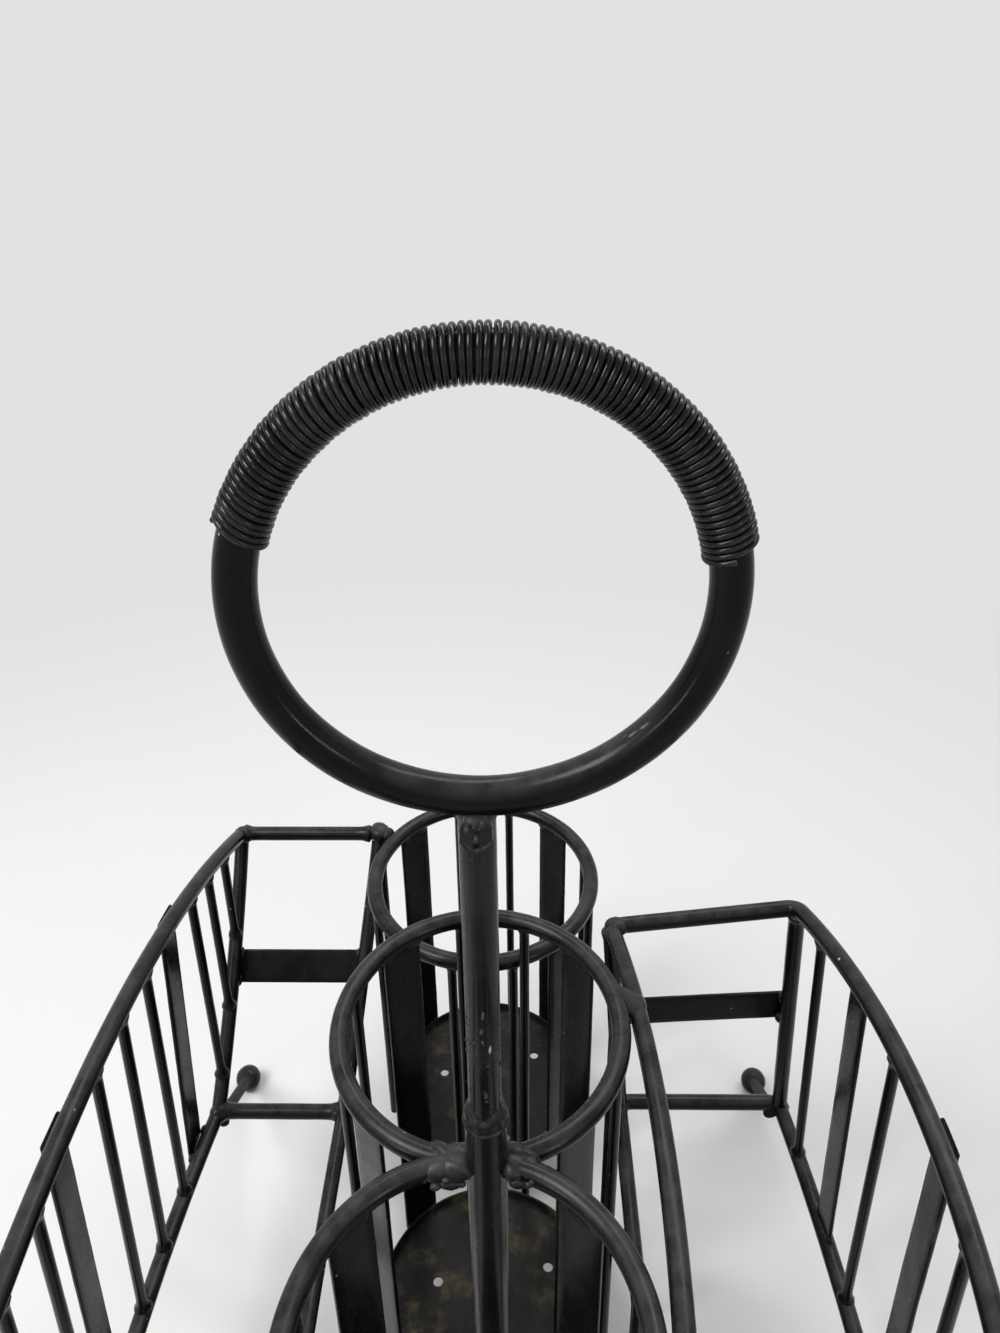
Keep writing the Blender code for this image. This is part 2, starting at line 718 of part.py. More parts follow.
# Splayed legs on ball feet, lapped under the racks' outer base corners.
ball_z = BALL / 2 - BALL_FLAT
under = FRAME_ROD / 2 + GAP + LEG_ROD / 2
base_corners = {
    -1: (PLATE_BASE_X + PLATE_LEG_INSET, PLATE_BASE_HALF, PLATE_BASE_Z),
    1: (NAPKIN_BASE_X - NAPKIN_LEG_INSET, NAPKIN_BASE_HALF, NAPKIN_BASE_Z),
}
for x_side, rack in ((-1, "plate"), (1, "napkin")):
    for side, word in ends.items():
        corner_x, corner_y, corner_z = base_corners[x_side]
        elbow = Vector((corner_x, side * (corner_y + LEG_PAST_CORNER), corner_z - under))
        foot = Vector((x_side * FOOT_SPREAD / 2 - FOOT_OFFSET, side * FOOT_Y, ball_z))
        down = (foot - elbow).normalized()
        tip = foot - down * (BALL / 2 + GAP)
        start = elbow - Vector((0, side * LEG_LAP, 0))
        rod(f"{rack}_{word}_leg", bend([start, elbow, tip], {1}, LEG_BEND), LEG_ROD, rod_paint)
        bpy.ops.mesh.primitive_uv_sphere_add(
            segments=14, ring_count=10, radius=BALL / 2, location=foot
        )
        ball = keep(bpy.context.object, f"{rack}_{word}_ball", rod_paint)
        flat = bmesh.new()
        flat.from_mesh(ball.data)
        cut = bmesh.ops.bisect_plane(
            flat,
            geom=flat.verts[:] + flat.edges[:] + flat.faces[:],
            plane_co=(0, 0, -ball_z),
            plane_no=(0, 0, -1),
            clear_outer=True,
        )
        rim_edges = [edge for edge in cut["geom_cut"] if isinstance(edge, bmesh.types.BMEdge)]
        bmesh.ops.holes_fill(flat, edges=rim_edges)
        bmesh.ops.recalc_face_normals(flat, faces=flat.faces)
        flat.to_mesh(ball.data)
        flat.free()
        smooth(ball, 30.0)

# The origin is the middle of the feet, which aren't quite centred on the post.
for piece in [*caddy.objects, *cutters.objects]:
    piece.location.x += FOOT_OFFSET
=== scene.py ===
"""Buffet caddy of welded black steel rod and strip, dressed over its CAD frame.

+Z up, +X to the napkin rack, +Y to the back, metres. Nothing moves: every piece rides on root.
"""

import math
import random

import bmesh
import bpy
import numpy as np
from mathutils import Matrix, Vector, noise


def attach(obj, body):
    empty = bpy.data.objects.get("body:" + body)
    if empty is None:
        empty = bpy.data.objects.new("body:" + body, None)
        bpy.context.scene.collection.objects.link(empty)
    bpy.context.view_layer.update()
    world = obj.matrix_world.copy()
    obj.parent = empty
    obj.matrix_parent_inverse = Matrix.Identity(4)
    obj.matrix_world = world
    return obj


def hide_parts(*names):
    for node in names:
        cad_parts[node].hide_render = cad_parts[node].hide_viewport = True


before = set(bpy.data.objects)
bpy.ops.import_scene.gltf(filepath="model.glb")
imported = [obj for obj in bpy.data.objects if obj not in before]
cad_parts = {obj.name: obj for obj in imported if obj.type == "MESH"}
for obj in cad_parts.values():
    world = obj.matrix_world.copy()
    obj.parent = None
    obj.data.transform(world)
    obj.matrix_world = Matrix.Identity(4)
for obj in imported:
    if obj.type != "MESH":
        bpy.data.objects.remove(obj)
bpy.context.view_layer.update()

# Rods and strip.
FRAME_ROD = 0.00635
RING_ROD = 0.0066
THIN_ROD = 0.0038
LEG_ROD = 0.0049
POST_ROD = 0.0095
TUBE_OD = 0.012
STRIP = 0.0016
GAP = 0.0003
STAND_OFF = FRAME_ROD / 2 + STRIP / 2 + GAP

# Handle, its wire grip, post and tube.
HANDLE_ROD = 0.0095
HANDLE_RADIUS = 0.0528
HANDLE_HEIGHT = 0.3862
HANDLE_SHIFT = 0.0033
HANDLE_TURN = math.radians(3.4)
TUBE_TOP = 0.222
GRIP_WIRE = 0.00155
GRIP_TURNS = 88.78
GRIP_START = math.radians(10.5)
GRIP_END = math.radians(161.7)
GRIP_SLANT = (0.022, -0.030)
GRIP_SLANT_TURNS = 14
GRIP_TWIST = 1.6
GRIP_RISE = (-0.00011, 0.00004)
GRIP_SLIP = 0.10

# Cups.
RING_RADIUS = 0.0475
CUP_X = {"high": -0.00365, "low": -0.0066}
CUP_Y = {"high": 0.0475, "low": 0.146644}
RING_Z = {"high": 0.198, "low": 0.1695}
CUP_TURN = {"high": math.radians(3.5), "low": math.radians(-1.5)}
PAIR_ANGLE = math.radians(15.0)
CUP_STRIP_WIDTH = 0.0159
FLOOR_Z = 0.0345
FLOOR_THICKNESS = 0.0013
FLOOR_RIM = 0.004
DRAIN_HOLES = 3
DRAIN_HOLE = 0.0042
DRAIN_RADIUS = 0.0268
DRAIN_OFF = (0.0032, 0.0019)
TUBE_HOLE = 0.0124

# Strips of both racks.
RACK_STRIP = 0.0117
BAND_TACK_IN = Vector((0.0026, 0, 0))

# Plate rack.
PLATE_TOP_HALF = 0.174344
PLATE_BASE_HALF = 0.1003
PLATE_BASE_Z = 0.078
PLATE_CORNER_Z = 0.170
PLATE_ARCH = 0.0418
PLATE_TOP_X = -0.1204
PLATE_TOP_BOW = 0.0028
PLATE_BASE_X = -0.1237
PLATE_BASE_BOW = 0.0064
PLATE_INNER_TOP_X = -0.05596
PLATE_INNER_BASE_X = -0.0684
PLATE_END_BOW = 0.0045
PLATE_CORNER = 0.004
PLATE_WELD = 0.011
PLATE_STRIP_TOP_Y = 0.0948
PLATE_STRIP_BASE_Y = 0.0842
PLATE_BAND_WIDTH = 0.0144
PLATE_BAND_HEIGHT = 0.0457
PLATE_BARS = [0.0213, 0.0426, 0.0639, 0.1098, 0.1290, 0.1482]

# Napkin rack.
NAPKIN_TOP_HALF = 0.1031
NAPKIN_BASE_HALF = 0.1072
NAPKIN_BASE_Z = 0.0763
NAPKIN_OUTER_Z = 0.1955
NAPKIN_OUTER_ARCH = 0.0160
NAPKIN_INNER_Z = 0.1855
NAPKIN_INNER_ARCH = 0.0115
NAPKIN_TOP_X = 0.1173
NAPKIN_TOP_BOW = 0.0114
NAPKIN_BASE_X = 0.1238
NAPKIN_BASE_BOW = 0.0062
NAPKIN_INNER_X = 0.04555
NAPKIN_INNER_BASE_X = 0.0535
NAPKIN_INNER_BOW = 0.0075
NAPKIN_CORNER = 0.005
NAPKIN_POST_INSET = 0.0015
NAPKIN_STRIP_TOP_Y = 0.0550
NAPKIN_STRIP_BASE_Y = 0.0527
NAPKIN_BARS = [0.0278, 0.0834]
NAPKIN_BAND_WIDTH = 0.0146
NAPKIN_BAND_SHARE = 0.511

# Feet.
BALL = 0.0127
BALL_FLAT = 0.0004
FOOT_SPREAD = 0.2697
FOOT_OFFSET = 0.00195
FOOT_Y = 0.1702
PLATE_LEG_INSET = 0.0014
NAPKIN_LEG_INSET = 0.0036
LEG_PAST_CORNER = 0.0038

# Paint.
RUBBED = (0.050, 0.050, 0.050, 1.0)
SCORCHED = (0.016, 0.015, 0.015, 1.0)
RUST = (0.060, 0.032, 0.018, 1.0)
FLOOR_STAIN = (0.075, 0.062, 0.036, 1.0)
# Grey of dust on upward faces, which also paints their sheen.
DUST_AND_SHEEN = (0.135, 0.132, 0.128, 1.0)
WARM_STEEL_AND_GLINT = (0.150, 0.118, 0.110, 1.0)
GREY_STEEL_AND_GLINT = (0.095, 0.096, 0.102, 1.0)
CHIPPED = (0.50, 0.49, 0.46, 1.0)

# Surroundings and camera.
PALE = (0.755, 0.765, 0.76, 1.0)
PALE_FLOOR = (0.765, 0.77, 0.76, 1.0)
OVERHEAD = (0.16, 0.16, 0.17, 1.0)
GROUND_REACH = 6.0
PITCH = math.radians(25.357)
YAW = math.radians(1.322)
ROLL = math.radians(-0.864)
FOCAL = 987.125
CENTRE_Y = 556.232
PICTURE_HEIGHT = 1333
CAMERA_PLACE = Vector((0.01079, -0.18659, 0.48444))

ENDS = {1: "rear", -1: "front"}

# Places below are measured from the post, which stands this far from the middle of the feet.
SHIFT = Vector((FOOT_OFFSET, 0, 0))


# Procedural materials. Pieces are built in place, so object coordinates are metres on the object.
class Graph:
    """A node tree built up from small steps."""

    def __init__(self, tree):
        self.tree = tree

    def add(self, kind, inputs=None, **settings):
        node = self.tree.nodes.new(kind)
        for key, value in settings.items():
            setattr(node, key, value)
        for key, value in (inputs or {}).items():
            self.join(value, node.inputs[key])
        return node

    def join(self, value, socket):
        if isinstance(value, bpy.types.NodeSocket):
            self.tree.links.new(value, socket)
        else:
            socket.default_value = value

    def math(self, operation, first, second, clamp=False):
        inputs = {0: first, 1: second}
        return self.add("ShaderNodeMath", inputs, operation=operation, use_clamp=clamp).outputs[0]

    def times(self, first, second, clamp=False):
        return self.math("MULTIPLY", first, second, clamp)

    def ramp(self, value, low, high, start=0.0, end=1.0):
        """Maps low..high to start..end, smoothly and clamped."""
        inputs = {"Value": value, "From Min": low, "From Max": high, "To Min": start, "To Max": end}
        node = self.add("ShaderNodeMapRange", inputs, interpolation_type="SMOOTHSTEP")
        return node.outputs["Result"]

    def mix(self, share, first, second):
        node = self.add("ShaderNodeMix", data_type="RGBA")
        self.join(share, node.inputs[0])
        self.join(first, node.inputs[6])
        self.join(second, node.inputs[7])
        return node.outputs[2]


class Paint(Graph):
    """The nodes of one material."""

    def __init__(self, name):
        self.material = bpy.data.materials.new(name)
        self.material.use_nodes = True
        super().__init__(self.material.node_tree)
        self.shader = self.tree.nodes["Principled BSDF"]
        self.place = self.add("ShaderNodeTexCoord").outputs["Object"]
        self.solid = self.add("ShaderNodeNewGeometry")

    def vector(self, operation, inputs, output=0):
        return self.add("ShaderNodeVectorMath", inputs, operation=operation).outputs[output]

    def noise(self, scale, detail=4.0, rough=0.55, stretch=None):
        place = self.place
        if stretch:
            place = self.add("ShaderNodeMapping", {"Vector": place, "Scale": stretch}).outputs[0]
        inputs = {"Vector": place, "Scale": scale, "Detail": detail, "Roughness": rough}
        return self.add("ShaderNodeTexNoise", inputs).outputs["Fac"]

    def near(self, point, reach, ragged, run=None):
        """1 in a ragged blob round a point, 0 outside it; run draws it out along a direction."""
        off = self.vector("SUBTRACT", {0: self.place, 1: point})
        if run:
            run = Vector(run).normalized()
            ahead = self.vector("DOT_PRODUCT", {0: off, 1: run}, "Value")
            ahead = self.times(ahead, -0.76)
            back = self.vector("SCALE", {0: run, 3: ahead})
            off = self.vector("ADD", {0: off, 1: back})
        away = self.vector("LENGTH", {0: off}, "Value")
        torn = self.math("MULTIPLY_ADD", self.noise(2.2 / reach, 5.0, 0.7), ragged * reach)
        torn.node.inputs[2].default_value = -0.5 * ragged * reach
        away = self.math("ADD", away, torn)
        return self.ramp(away, reach * 0.75, reach, 1.0, 0.0)


def black_paint(
    name, base, gloss, dust_and_sheen, rust, chips, peel, level=0.15,
    marks=(), worn_and_glint=(), steel_and_glint=WARM_STEEL_AND_GLINT, stain=RUST, stain_scale=170.0,
):
    """Old black paint: blotches, dust and a painted sheen on top, rust by the welds, chips and
    rubbed edges.
    """
    paint = Paint(name)
    weld = paint.add("ShaderNodeAttribute", attribute_name="weld").outputs["Fac"]
    blotch = paint.noise(48.0, 5.0, 0.6)
    grain = paint.noise(620.0, 6.0, 0.65)
    streak = paint.noise(130.0, 4.0, 0.6, (1.0, 1.0, 0.12))
    dark = (*[channel * 0.7 for channel in base], 1.0)
    light = (*[channel * 1.5 for channel in base], 1.0)
    colour = paint.mix(paint.ramp(blotch, 0.36, 0.66), dark, light)

    edges = paint.ramp(paint.solid.outputs["Pointiness"], 0.53, 0.60)
    rubbed = paint.times(edges, grain)
    rubbed = paint.times(rubbed, paint.ramp(blotch, 0.38, 0.62, 0.2, 1.1), clamp=True)
    colour = paint.mix(rubbed, colour, RUBBED)

    scorched = paint.times(weld, paint.ramp(grain, 0.46, 0.62), clamp=True)
    scorched = paint.times(scorched, 0.45)
    colour = paint.mix(scorched, colour, SCORCHED)

    rusty = paint.ramp(paint.noise(stain_scale, 6.0, 0.7), 0.72 - rust * 0.16, 0.78)
    spread = paint.math("ADD", paint.times(weld, 0.7), rust)
    rusty = paint.times(rusty, spread, clamp=True)
    colour = paint.mix(rusty, colour, stain)

    # Faces that look up turn grey: settled dust, and a painted sheen for the light from above.
    up = paint.add("ShaderNodeSeparateXYZ", {0: paint.solid.outputs["Normal"]}).outputs["Z"]
    level_parts = paint.ramp(up, 0.25, 1.0)
    dust_and_sheen_share = paint.times(level_parts, paint.ramp(streak, 0.30, 0.72, 0.35, 1.0))
    dust_and_sheen_share = paint.times(dust_and_sheen_share, dust_and_sheen)
    colour = paint.mix(dust_and_sheen_share, colour, DUST_AND_SHEEN)

    # Bare steel patches; on the handle and on the post's head weld they also paint a highlight.
    for point, reach, run in worn_and_glint:
        bare_and_glint = paint.near(point, reach, 1.6, run)
        bare_and_glint = paint.times(bare_and_glint, paint.ramp(grain, 0.38, 0.60))
        colour = paint.mix(bare_and_glint, colour, steel_and_glint)

    cells = {"Vector": paint.place, "Scale": 520.0}
    cells = paint.add("ShaderNodeTexVoronoi", cells, feature="F1")
    picked = paint.add("ShaderNodeSeparateColor", {0: cells.outputs["Color"]}).outputs["Red"]
    chip = paint.math("ADD", cells.outputs["Distance"], paint.times(grain, 0.5))
    chip = paint.math("LESS_THAN", chip, 0.42)
    chip = paint.times(chip, paint.math("GREATER_THAN", picked, 1.0 - chips))
    chip = paint.times(chip, 0.45)
    for point, reach, run in marks:
        chip = paint.math("MAXIMUM", chip, paint.near(point, reach, 1.8, run))
    colour = paint.mix(chip, colour, CHIPPED)
    sockets = paint.shader.inputs
    paint.join(colour, sockets["Base Color"])

    rough = paint.ramp(grain, 0.3, 0.72, gloss - 0.03, gloss + 0.04)
    rough = paint.math("ADD", rough, paint.ramp(blotch, 0.35, 0.7, -0.03, 0.07))
    rough = paint.math("ADD", rough, paint.times(dust_and_sheen_share, 0.5))
    rough = paint.math("ADD", rough, paint.times(scorched, 0.12))
    rough = paint.math("ADD", rough, paint.times(rusty, 0.35), clamp=True)
    paint.join(rough, sockets["Roughness"])
    sockets["Specular IOR Level"].default_value = level

    height = paint.times(paint.noise(1500.0, 3.0, 0.6), peel)
    lumps = paint.times(paint.noise(240.0, 4.0, 0.55), peel * 0.9)
    height = paint.math("ADD", height, lumps)
    rough_weld = paint.times(paint.noise(900.0, 5.0, 0.7), weld)
    height = paint.math("ADD", height, paint.times(rough_weld, 1.2))
    height = paint.math("SUBTRACT", height, paint.times(chip, 0.5))
    bump = {"Height": height, "Strength": 0.45, "Distance": 0.00018}
    bump = paint.add("ShaderNodeBump", bump).outputs["Normal"]
    paint.join(bump, sockets["Normal"])
    return paint.material


# The post and tube take the black paint lighter than the rods do: dust, and a painted sheen for the
# grey light along them.
post_sheen_paint = black_paint(
    "post_black_with_sheen", (0.0092, 0.0092, 0.0094),
    gloss=0.21, dust_and_sheen=0.25, rust=0.10, chips=0.008, peel=0.28, level=0.20,
    marks=[((0.0039, -0.0044, 0.2517), 0.0004, (0.10, 0.0, 1.0))],
    worn_and_glint=[
        ((0.0003, -0.0044, 0.3177), 0.0004, None),
        ((0.0022, -0.0047, 0.2650), 0.0004, (0.1, 0.0, 1.0)),
        ((0.0017, -0.0047, 0.2590), 0.0004, (0.2, 0.0, 1.0)),
        ((0.0020, -0.0047, 0.2545), 0.0003, (-0.2, 0.0, 1.0)),
        ((0.0002, -0.0050, 0.2350), 0.0006, (0.5, 0.0, 1.0)),
        ((0.0026, -0.0052, 0.2338), 0.0007, (-0.3, 0.0, 1.0)),
        ((0.0012, -0.0056, 0.2318), 0.0005, (0.8, 0.0, 1.0)),
        # These three on the head weld are bare steel and a painted highlight on the weld metal.
        ((-0.0006, -0.0056, 0.3330), 0.0006, (0.6, 0.0, 1.0)),
        ((0.0032, -0.0056, 0.3316), 0.0007, (-0.4, 0.0, 1.0)),
        ((0.0014, -0.0058, 0.3290), 0.0005, None),
    ],
    steel_and_glint=GREY_STEEL_AND_GLINT,
)
handle_paint = black_paint(
    "handle_black", (0.0024, 0.0025, 0.0031),
    gloss=0.15, dust_and_sheen=0.30, rust=0.06, chips=0.006, peel=0.26, level=0.12,
    # The streaks on the handle are rubbed steel and a painted highlight along the ring.
    worn_and_glint=[
        ((0.0404, 0.0000, 0.3531), 0.0005, (0.72, 0.0, 0.69)),
        ((0.0396, 0.0010, 0.3531), 0.0003, (0.72, 0.0, 0.69)),
        ((0.0382, 0.0002, 0.3510), 0.0004, (0.68, 0.0, 0.73)),
        ((0.0364, 0.0010, 0.3497), 0.0003, (0.68, 0.0, 0.73)),
    ],
)
rod_paint = black_paint(
    "rod_black", (0.0025, 0.0025, 0.0029),
    gloss=0.20, dust_and_sheen=0.31, rust=0.12, chips=0.007, peel=0.36,
    marks=[((0.1236, 0.0676, 0.2070), 0.0005, None)],
)
leg_paint = black_paint(
    "leg_black", (0.0110, 0.0096, 0.0082),
    gloss=0.55, dust_and_sheen=0.10, rust=0.45, chips=0.006, peel=0.7, level=0.04,
)
strip_paint = black_paint(
    "strip_black", (0.0024, 0.0024, 0.0029),
    gloss=0.24, dust_and_sheen=0.14, rust=0.08, chips=0.005, peel=0.09, level=0.12,
)
wire_paint = black_paint(
    "wire_black", (0.0019, 0.0019, 0.0023),
    gloss=0.18, dust_and_sheen=0.08, rust=0.03, chips=0.002, peel=0.2, level=0.20,
)
floor_paint = black_paint(
    "dusty_floor_black", (0.0036, 0.0033, 0.0030),
    gloss=0.38, dust_and_sheen=0.10, rust=1.40, chips=0.008, peel=0.7, stain=FLOOR_STAIN, stain_scale=62.0,
)


def put(name, data):
    thing = bpy.data.objects.new(name, data)
    bpy.context.scene.collection.objects.link(thing)
    return thing


def hand_over(piece, node):
    """Every piece rides on the one body and takes the place of one node."""
    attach(piece, "root")
    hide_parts(node)


# Geometry: each piece gathers closed shells with a weld weight for its paint.
class Piece:
    def __init__(self, name, seed):
        self.name = name
        self.dice = random.Random(seed)
        self.shift = Vector([self.dice.uniform(-9, 9) for _ in range(3)])
        self.points = []
        self.faces = []
        self.weld = []

    def add(self, points, faces, weld):
        start = len(self.points)
        self.points.extend(points)
        self.faces.extend([tuple(start + index for index in face) for face in faces])
        self.weld.extend(weld)

    def wobble(self, point, scale):
        return noise.noise(Vector(point) * scale + self.shift)

    def finish(self, material, node, angle=48.0):
        mesh = bpy.data.meshes.new(self.name)
        mesh.from_pydata(self.points, [], self.faces)
        mesh.attributes.new("weld", "FLOAT", "POINT").data.foreach_set("value", self.weld)
        mesh.materials.append(material)
        mesh.shade_smooth()
        mesh.set_sharp_from_angle(angle=math.radians(angle))
        mesh.transform(Matrix.Translation(SHIFT))
        hand_over(put(self.name, mesh), node)


def circle(count):
    """Cosine and sine of evenly spaced angles round a turn."""
    turns = [2 * math.pi * index / count for index in range(count)]
    return [(math.cos(turn), math.sin(turn)) for turn in turns]


def along(points, cyclic):
    """Unit tangents, and distances from the start, of a path."""
    ahead = np.roll(points, -1, 0)
    behind = np.roll(points, 1, 0)
    if not cyclic:
        ahead[-1] = points[-1]
        behind[0] = points[0]
    tangent = ahead - behind
    tangent /= np.linalg.norm(tangent, axis=1)[:, None]
    run = np.concatenate([[0], np.cumsum(np.linalg.norm(np.diff(points, axis=0), axis=1))])
    return tangent, run


def frames(tangent, cyclic):
    """Two directions across the path at each point, turned as little as can be."""
    first = np.cross(tangent[0], (0.31, 0.54, 0.78))
    across = []
    for direction in tangent:
        first = first - direction * np.dot(first, direction)
        first = first / np.linalg.norm(first)
        across.append(first)
    across = np.array(across)
    other = np.cross(tangent, across)
    if cyclic:
        drift = math.atan2(np.dot(across[-1], other[0]), np.dot(across[-1], across[0]))
        turn = -drift * np.linspace(0, 1, len(tangent), endpoint=False)[:, None]
        across, other = (
            across * np.cos(turn) + other * np.sin(turn),
            other * np.cos(turn) - across * np.sin(turn),
        )
    return across, other


def skin(count, sides, cyclic=False):
    """Faces of a tube of point rings, and its two end faces if it is open."""
    faces = []
    for ring in range(count if cyclic else count - 1):
        here = ring * sides
        there = (ring + 1) % count * sides
        for side in range(sides):
            after = (side + 1) % sides
            faces.append((here + side, here + after, there + after, there + side))
    if not cyclic:
        faces.append(tuple(range(sides - 1, -1, -1)))
        faces.append(tuple(range((count - 1) * sides, count * sides)))
    return faces


def rod(piece, path, diameter, cyclic=False, sides=20, flare=(0.0, 0.0), lumps=0.012):
    """A round rod with slightly uneven skin, domed ends, and weld metal flaring at its ends."""
    points = np.array([tuple(point) for point in path])
    tangent, run = along(points, cyclic)
    radius = np.full(len(points), diameter / 2)
    weld = np.zeros(len(points))
    for amount, away in ((flare[0], run), (flare[1], run[-1] - run)):
        if amount:
            fade = np.exp(-((away / (0.9 * amount + 0.0012)) ** 2))
            radius += amount * fade
            weld = np.maximum(weld, fade)
    if not cyclic:
        head = [points[0] - tangent[0] * radius[0] * depth for depth in (0.30, 0.24, 0.12)]
        tail = [points[-1] + tangent[-1] * radius[-1] * depth for depth in (0.12, 0.24, 0.30)]
        sizes = [share * radius[0] for share in (0.62, 0.85, 0.97)]
        tails = [share * radius[-1] for share in (0.97, 0.85, 0.62)]
        points = np.concatenate([head, points, tail])
        tangent = np.concatenate([[tangent[0]] * 3, tangent, [tangent[-1]] * 3])
        radius = np.concatenate([sizes, radius, tails])
        weld = np.concatenate([[weld[0]] * 3, weld, [weld[-1]] * 3])
    across, other = frames(tangent, cyclic)
    verts = []
    heat = []
    for spot, one, two, reach, hot in zip(points, across, other, radius, weld):
        for cos, sin in circle(sides):
            out = (one * cos + two * sin) * reach
            bulge = lumps * piece.wobble(spot + out, 90.0)
            bulge += hot * 0.10 * piece.wobble(spot + out, 520.0)
            verts.append(tuple(spot + out * (1 + bulge)))
            heat.append(float(hot))
    piece.add(verts, skin(len(points), sides, cyclic), heat)


def straight(start, end, step=0.004):
    start, end = Vector(start), Vector(end)
    count = max(2, round((end - start).length / step))
    return [start.lerp(end, index / count) for index in range(count + 1)]


def bar(piece, start, end, diameter=THIN_ROD, sides=14, flare=(0.0011, 0.0011)):
    """A straight bar whose path is finer near its welded ends."""
    start, end = Vector(start), Vector(end)
    shares = [near / (end - start).length for near in (0.0008, 0.0016, 0.0026)]
    inner = straight(start, end)
    first = [start.lerp(end, share) for share in shares]
    last = [start.lerp(end, 1 - share) for share in reversed(shares)]
    path = [inner[0], *first, *inner[1:-1], *last, inner[-1]]
    rod(piece, path, diameter, sides=sides, flare=flare, lumps=0.02)


def flat(piece, start, end, width, across):
    """A flat strip with rounded edges and slightly uneven faces."""
    start, end = Vector(start), Vector(end)
    axis = (end - start).normalized()
    side = (Vector(across) - axis * axis.dot(Vector(across))).normalized()
    out = axis.cross(side)
    corner = 0.00065
    outline = []
    for x_sign, y_sign, first in ((1, 1, 0), (-1, 1, 90), (-1, -1, 180), (1, -1, 270)):
        for step in range(4):
            turn = math.radians(first + step * 30)
            centre_x = x_sign * (width / 2 - corner)
            centre_y = y_sign * (STRIP / 2 - corner)
            outline.append((centre_x + corner * math.cos(turn), centre_y + corner * math.sin(turn)))
        if first in (0, 180):
            for share in (0.2, 0.4, 0.6, 0.8):
                x = x_sign * (width / 2 - corner) * (1 - 2 * share)
                outline.append((x, y_sign * STRIP / 2))
    spots = [0.0, 0.0002, 0.0007]
    length = (end - start).length
    count = round(length / 0.004)
    inner = [length * index / max(4, count) for index in range(1, count)]
    spots += [spot for spot in inner if 0.001 < spot < length - 0.001]
    spots += [length - 0.0007, length - 0.0002, length]
    verts = []
    heat = []
    for spot in spots:
        nearest = min(spot, length - spot)
        shrink = 0.00045 * max(0.0, 1 - nearest / 0.0007) ** 2
        hot = math.exp(-((nearest / 0.003) ** 2))
        middle = start + axis * spot
        lift = 0.00022 * piece.wobble(middle, 24.0)
        for x, y in outline:
            x -= math.copysign(shrink, x)
            y -= math.copysign(shrink, y)
            place = middle + side * x + out * y
            uneven = lift + 0.00009 * piece.wobble(place, 130.0) * (1 if y > 0 else -1)
            verts.append(tuple(place + out * uneven))
            heat.append(0.6 * hot)
    piece.add(verts, skin(len(spots), len(outline)), heat)


def bead(piece, centre, size, axis=(0, 0, 1), lumps=0.2, detail=3):
    """A lump of weld metal: a ball, stretched along an axis and made uneven."""
    form = bmesh.new()
    bmesh.ops.create_icosphere(form, subdivisions=detail, radius=1.0)
    turn = Vector(axis).normalized().to_track_quat("Z", "Y").to_matrix()
    centre = Vector(centre)
    verts = []
    for vert in form.verts:
        place = turn @ (vert.co * Vector(size))
        grow = lumps * piece.wobble(centre + place, 210.0)
        grow += 0.4 * lumps * piece.wobble(centre + place, 700.0)
        verts.append(tuple(centre + place * (1 + grow)))
    faces = [tuple(vert.index for vert in face.verts) for face in form.faces]
    form.free()
    piece.add(verts, faces, [1.0] * len(verts))


def tacks(piece, ends, across, size, axis=(0, 0, 1)):
    """A pair of small beads at each end of a strip, a step across to either side."""
    for end in ends:
        for step in (-across, across):
            bead(piece, end + step, size, axis, lumps=0.3, detail=2)


def ring(piece, centre, radius, diameter, sides, count, turn=None, lumps=0.014):
    """A rod bent to a full circle, level unless it is given a turn."""
    path = []
    for cos, sin in circle(count):
        spot = Vector((radius * cos, radius * sin, 0))
        path.append(Vector(centre) + (turn @ spot if turn else spot))
    rod(piece, path, diameter, cyclic=True, sides=sides, lumps=lumps)


def sleeve(piece, low, high, reach, rows, count=84):
    """Weld metal wrapped round an upright rod; reach gives its radius at each turn and height."""
    verts = []
    for row in range(rows + 1):
        height = low + (high - low) * row / rows
        for side in range(count):
            turn = 2 * math.pi * side / count
            spot = Vector((math.cos(turn) * 0.0055, math.sin(turn) * 0.0055, height))
            radius = reach(turn, height)
            radius += 0.00016 * piece.wobble(spot, 420.0) + 0.00009 * piece.wobble(spot, 1100.0)
            lift = 0.0003 * piece.wobble(spot, 260.0) if 0 < row < rows else 0.0
            verts.append((radius * math.cos(turn), radius * math.sin(turn), height + lift))
    piece.add(verts, skin(rows + 1, count), [1.0] * len(verts))


def ease(value, low, high):
    share = min(max((value - low) / (high - low), 0.0), 1.0)
    return share * share * (3 - 2 * share)


def bend(points, corners, radius, steps=8):
    """Rounds the corners of a path, given by their indices, with arcs."""
    path = []
    for index, point in enumerate(points):
        here = Vector(point)
        if index not in corners:
            path.append(here)
            continue
        back = (Vector(points[index - 1]) - here).normalized()
        ahead = (Vector(points[(index + 1) % len(points)]) - here).normalized()
        half = back.angle(ahead) / 2
        reach = radius / math.tan(half)
        centre = here + (back + ahead).normalized() * (radius / math.sin(half))
        first = here + back * reach - centre
        axis = first.cross(here + ahead * reach - centre).normalized()
        for step in range(steps + 1):
            turn = Matrix.Rotation((math.pi - 2 * half) * step / steps, 3, axis)
            path.append(centre + turn @ first)
    clean = path[:1]
    for point in path[1:]:
        if (point - clean[-1]).length > 0.0004:
            clean.append(point)
    return clean


def curved(half, x, x_bow, z, z_bow=0.0):
    """The line of a rail, bowed in x and arched in z, as a function of y."""

    def place(y):
        share = 1 - (y / half) ** 2
        return Vector((x + x_bow * share, y, z + z_bow * share))

    return place


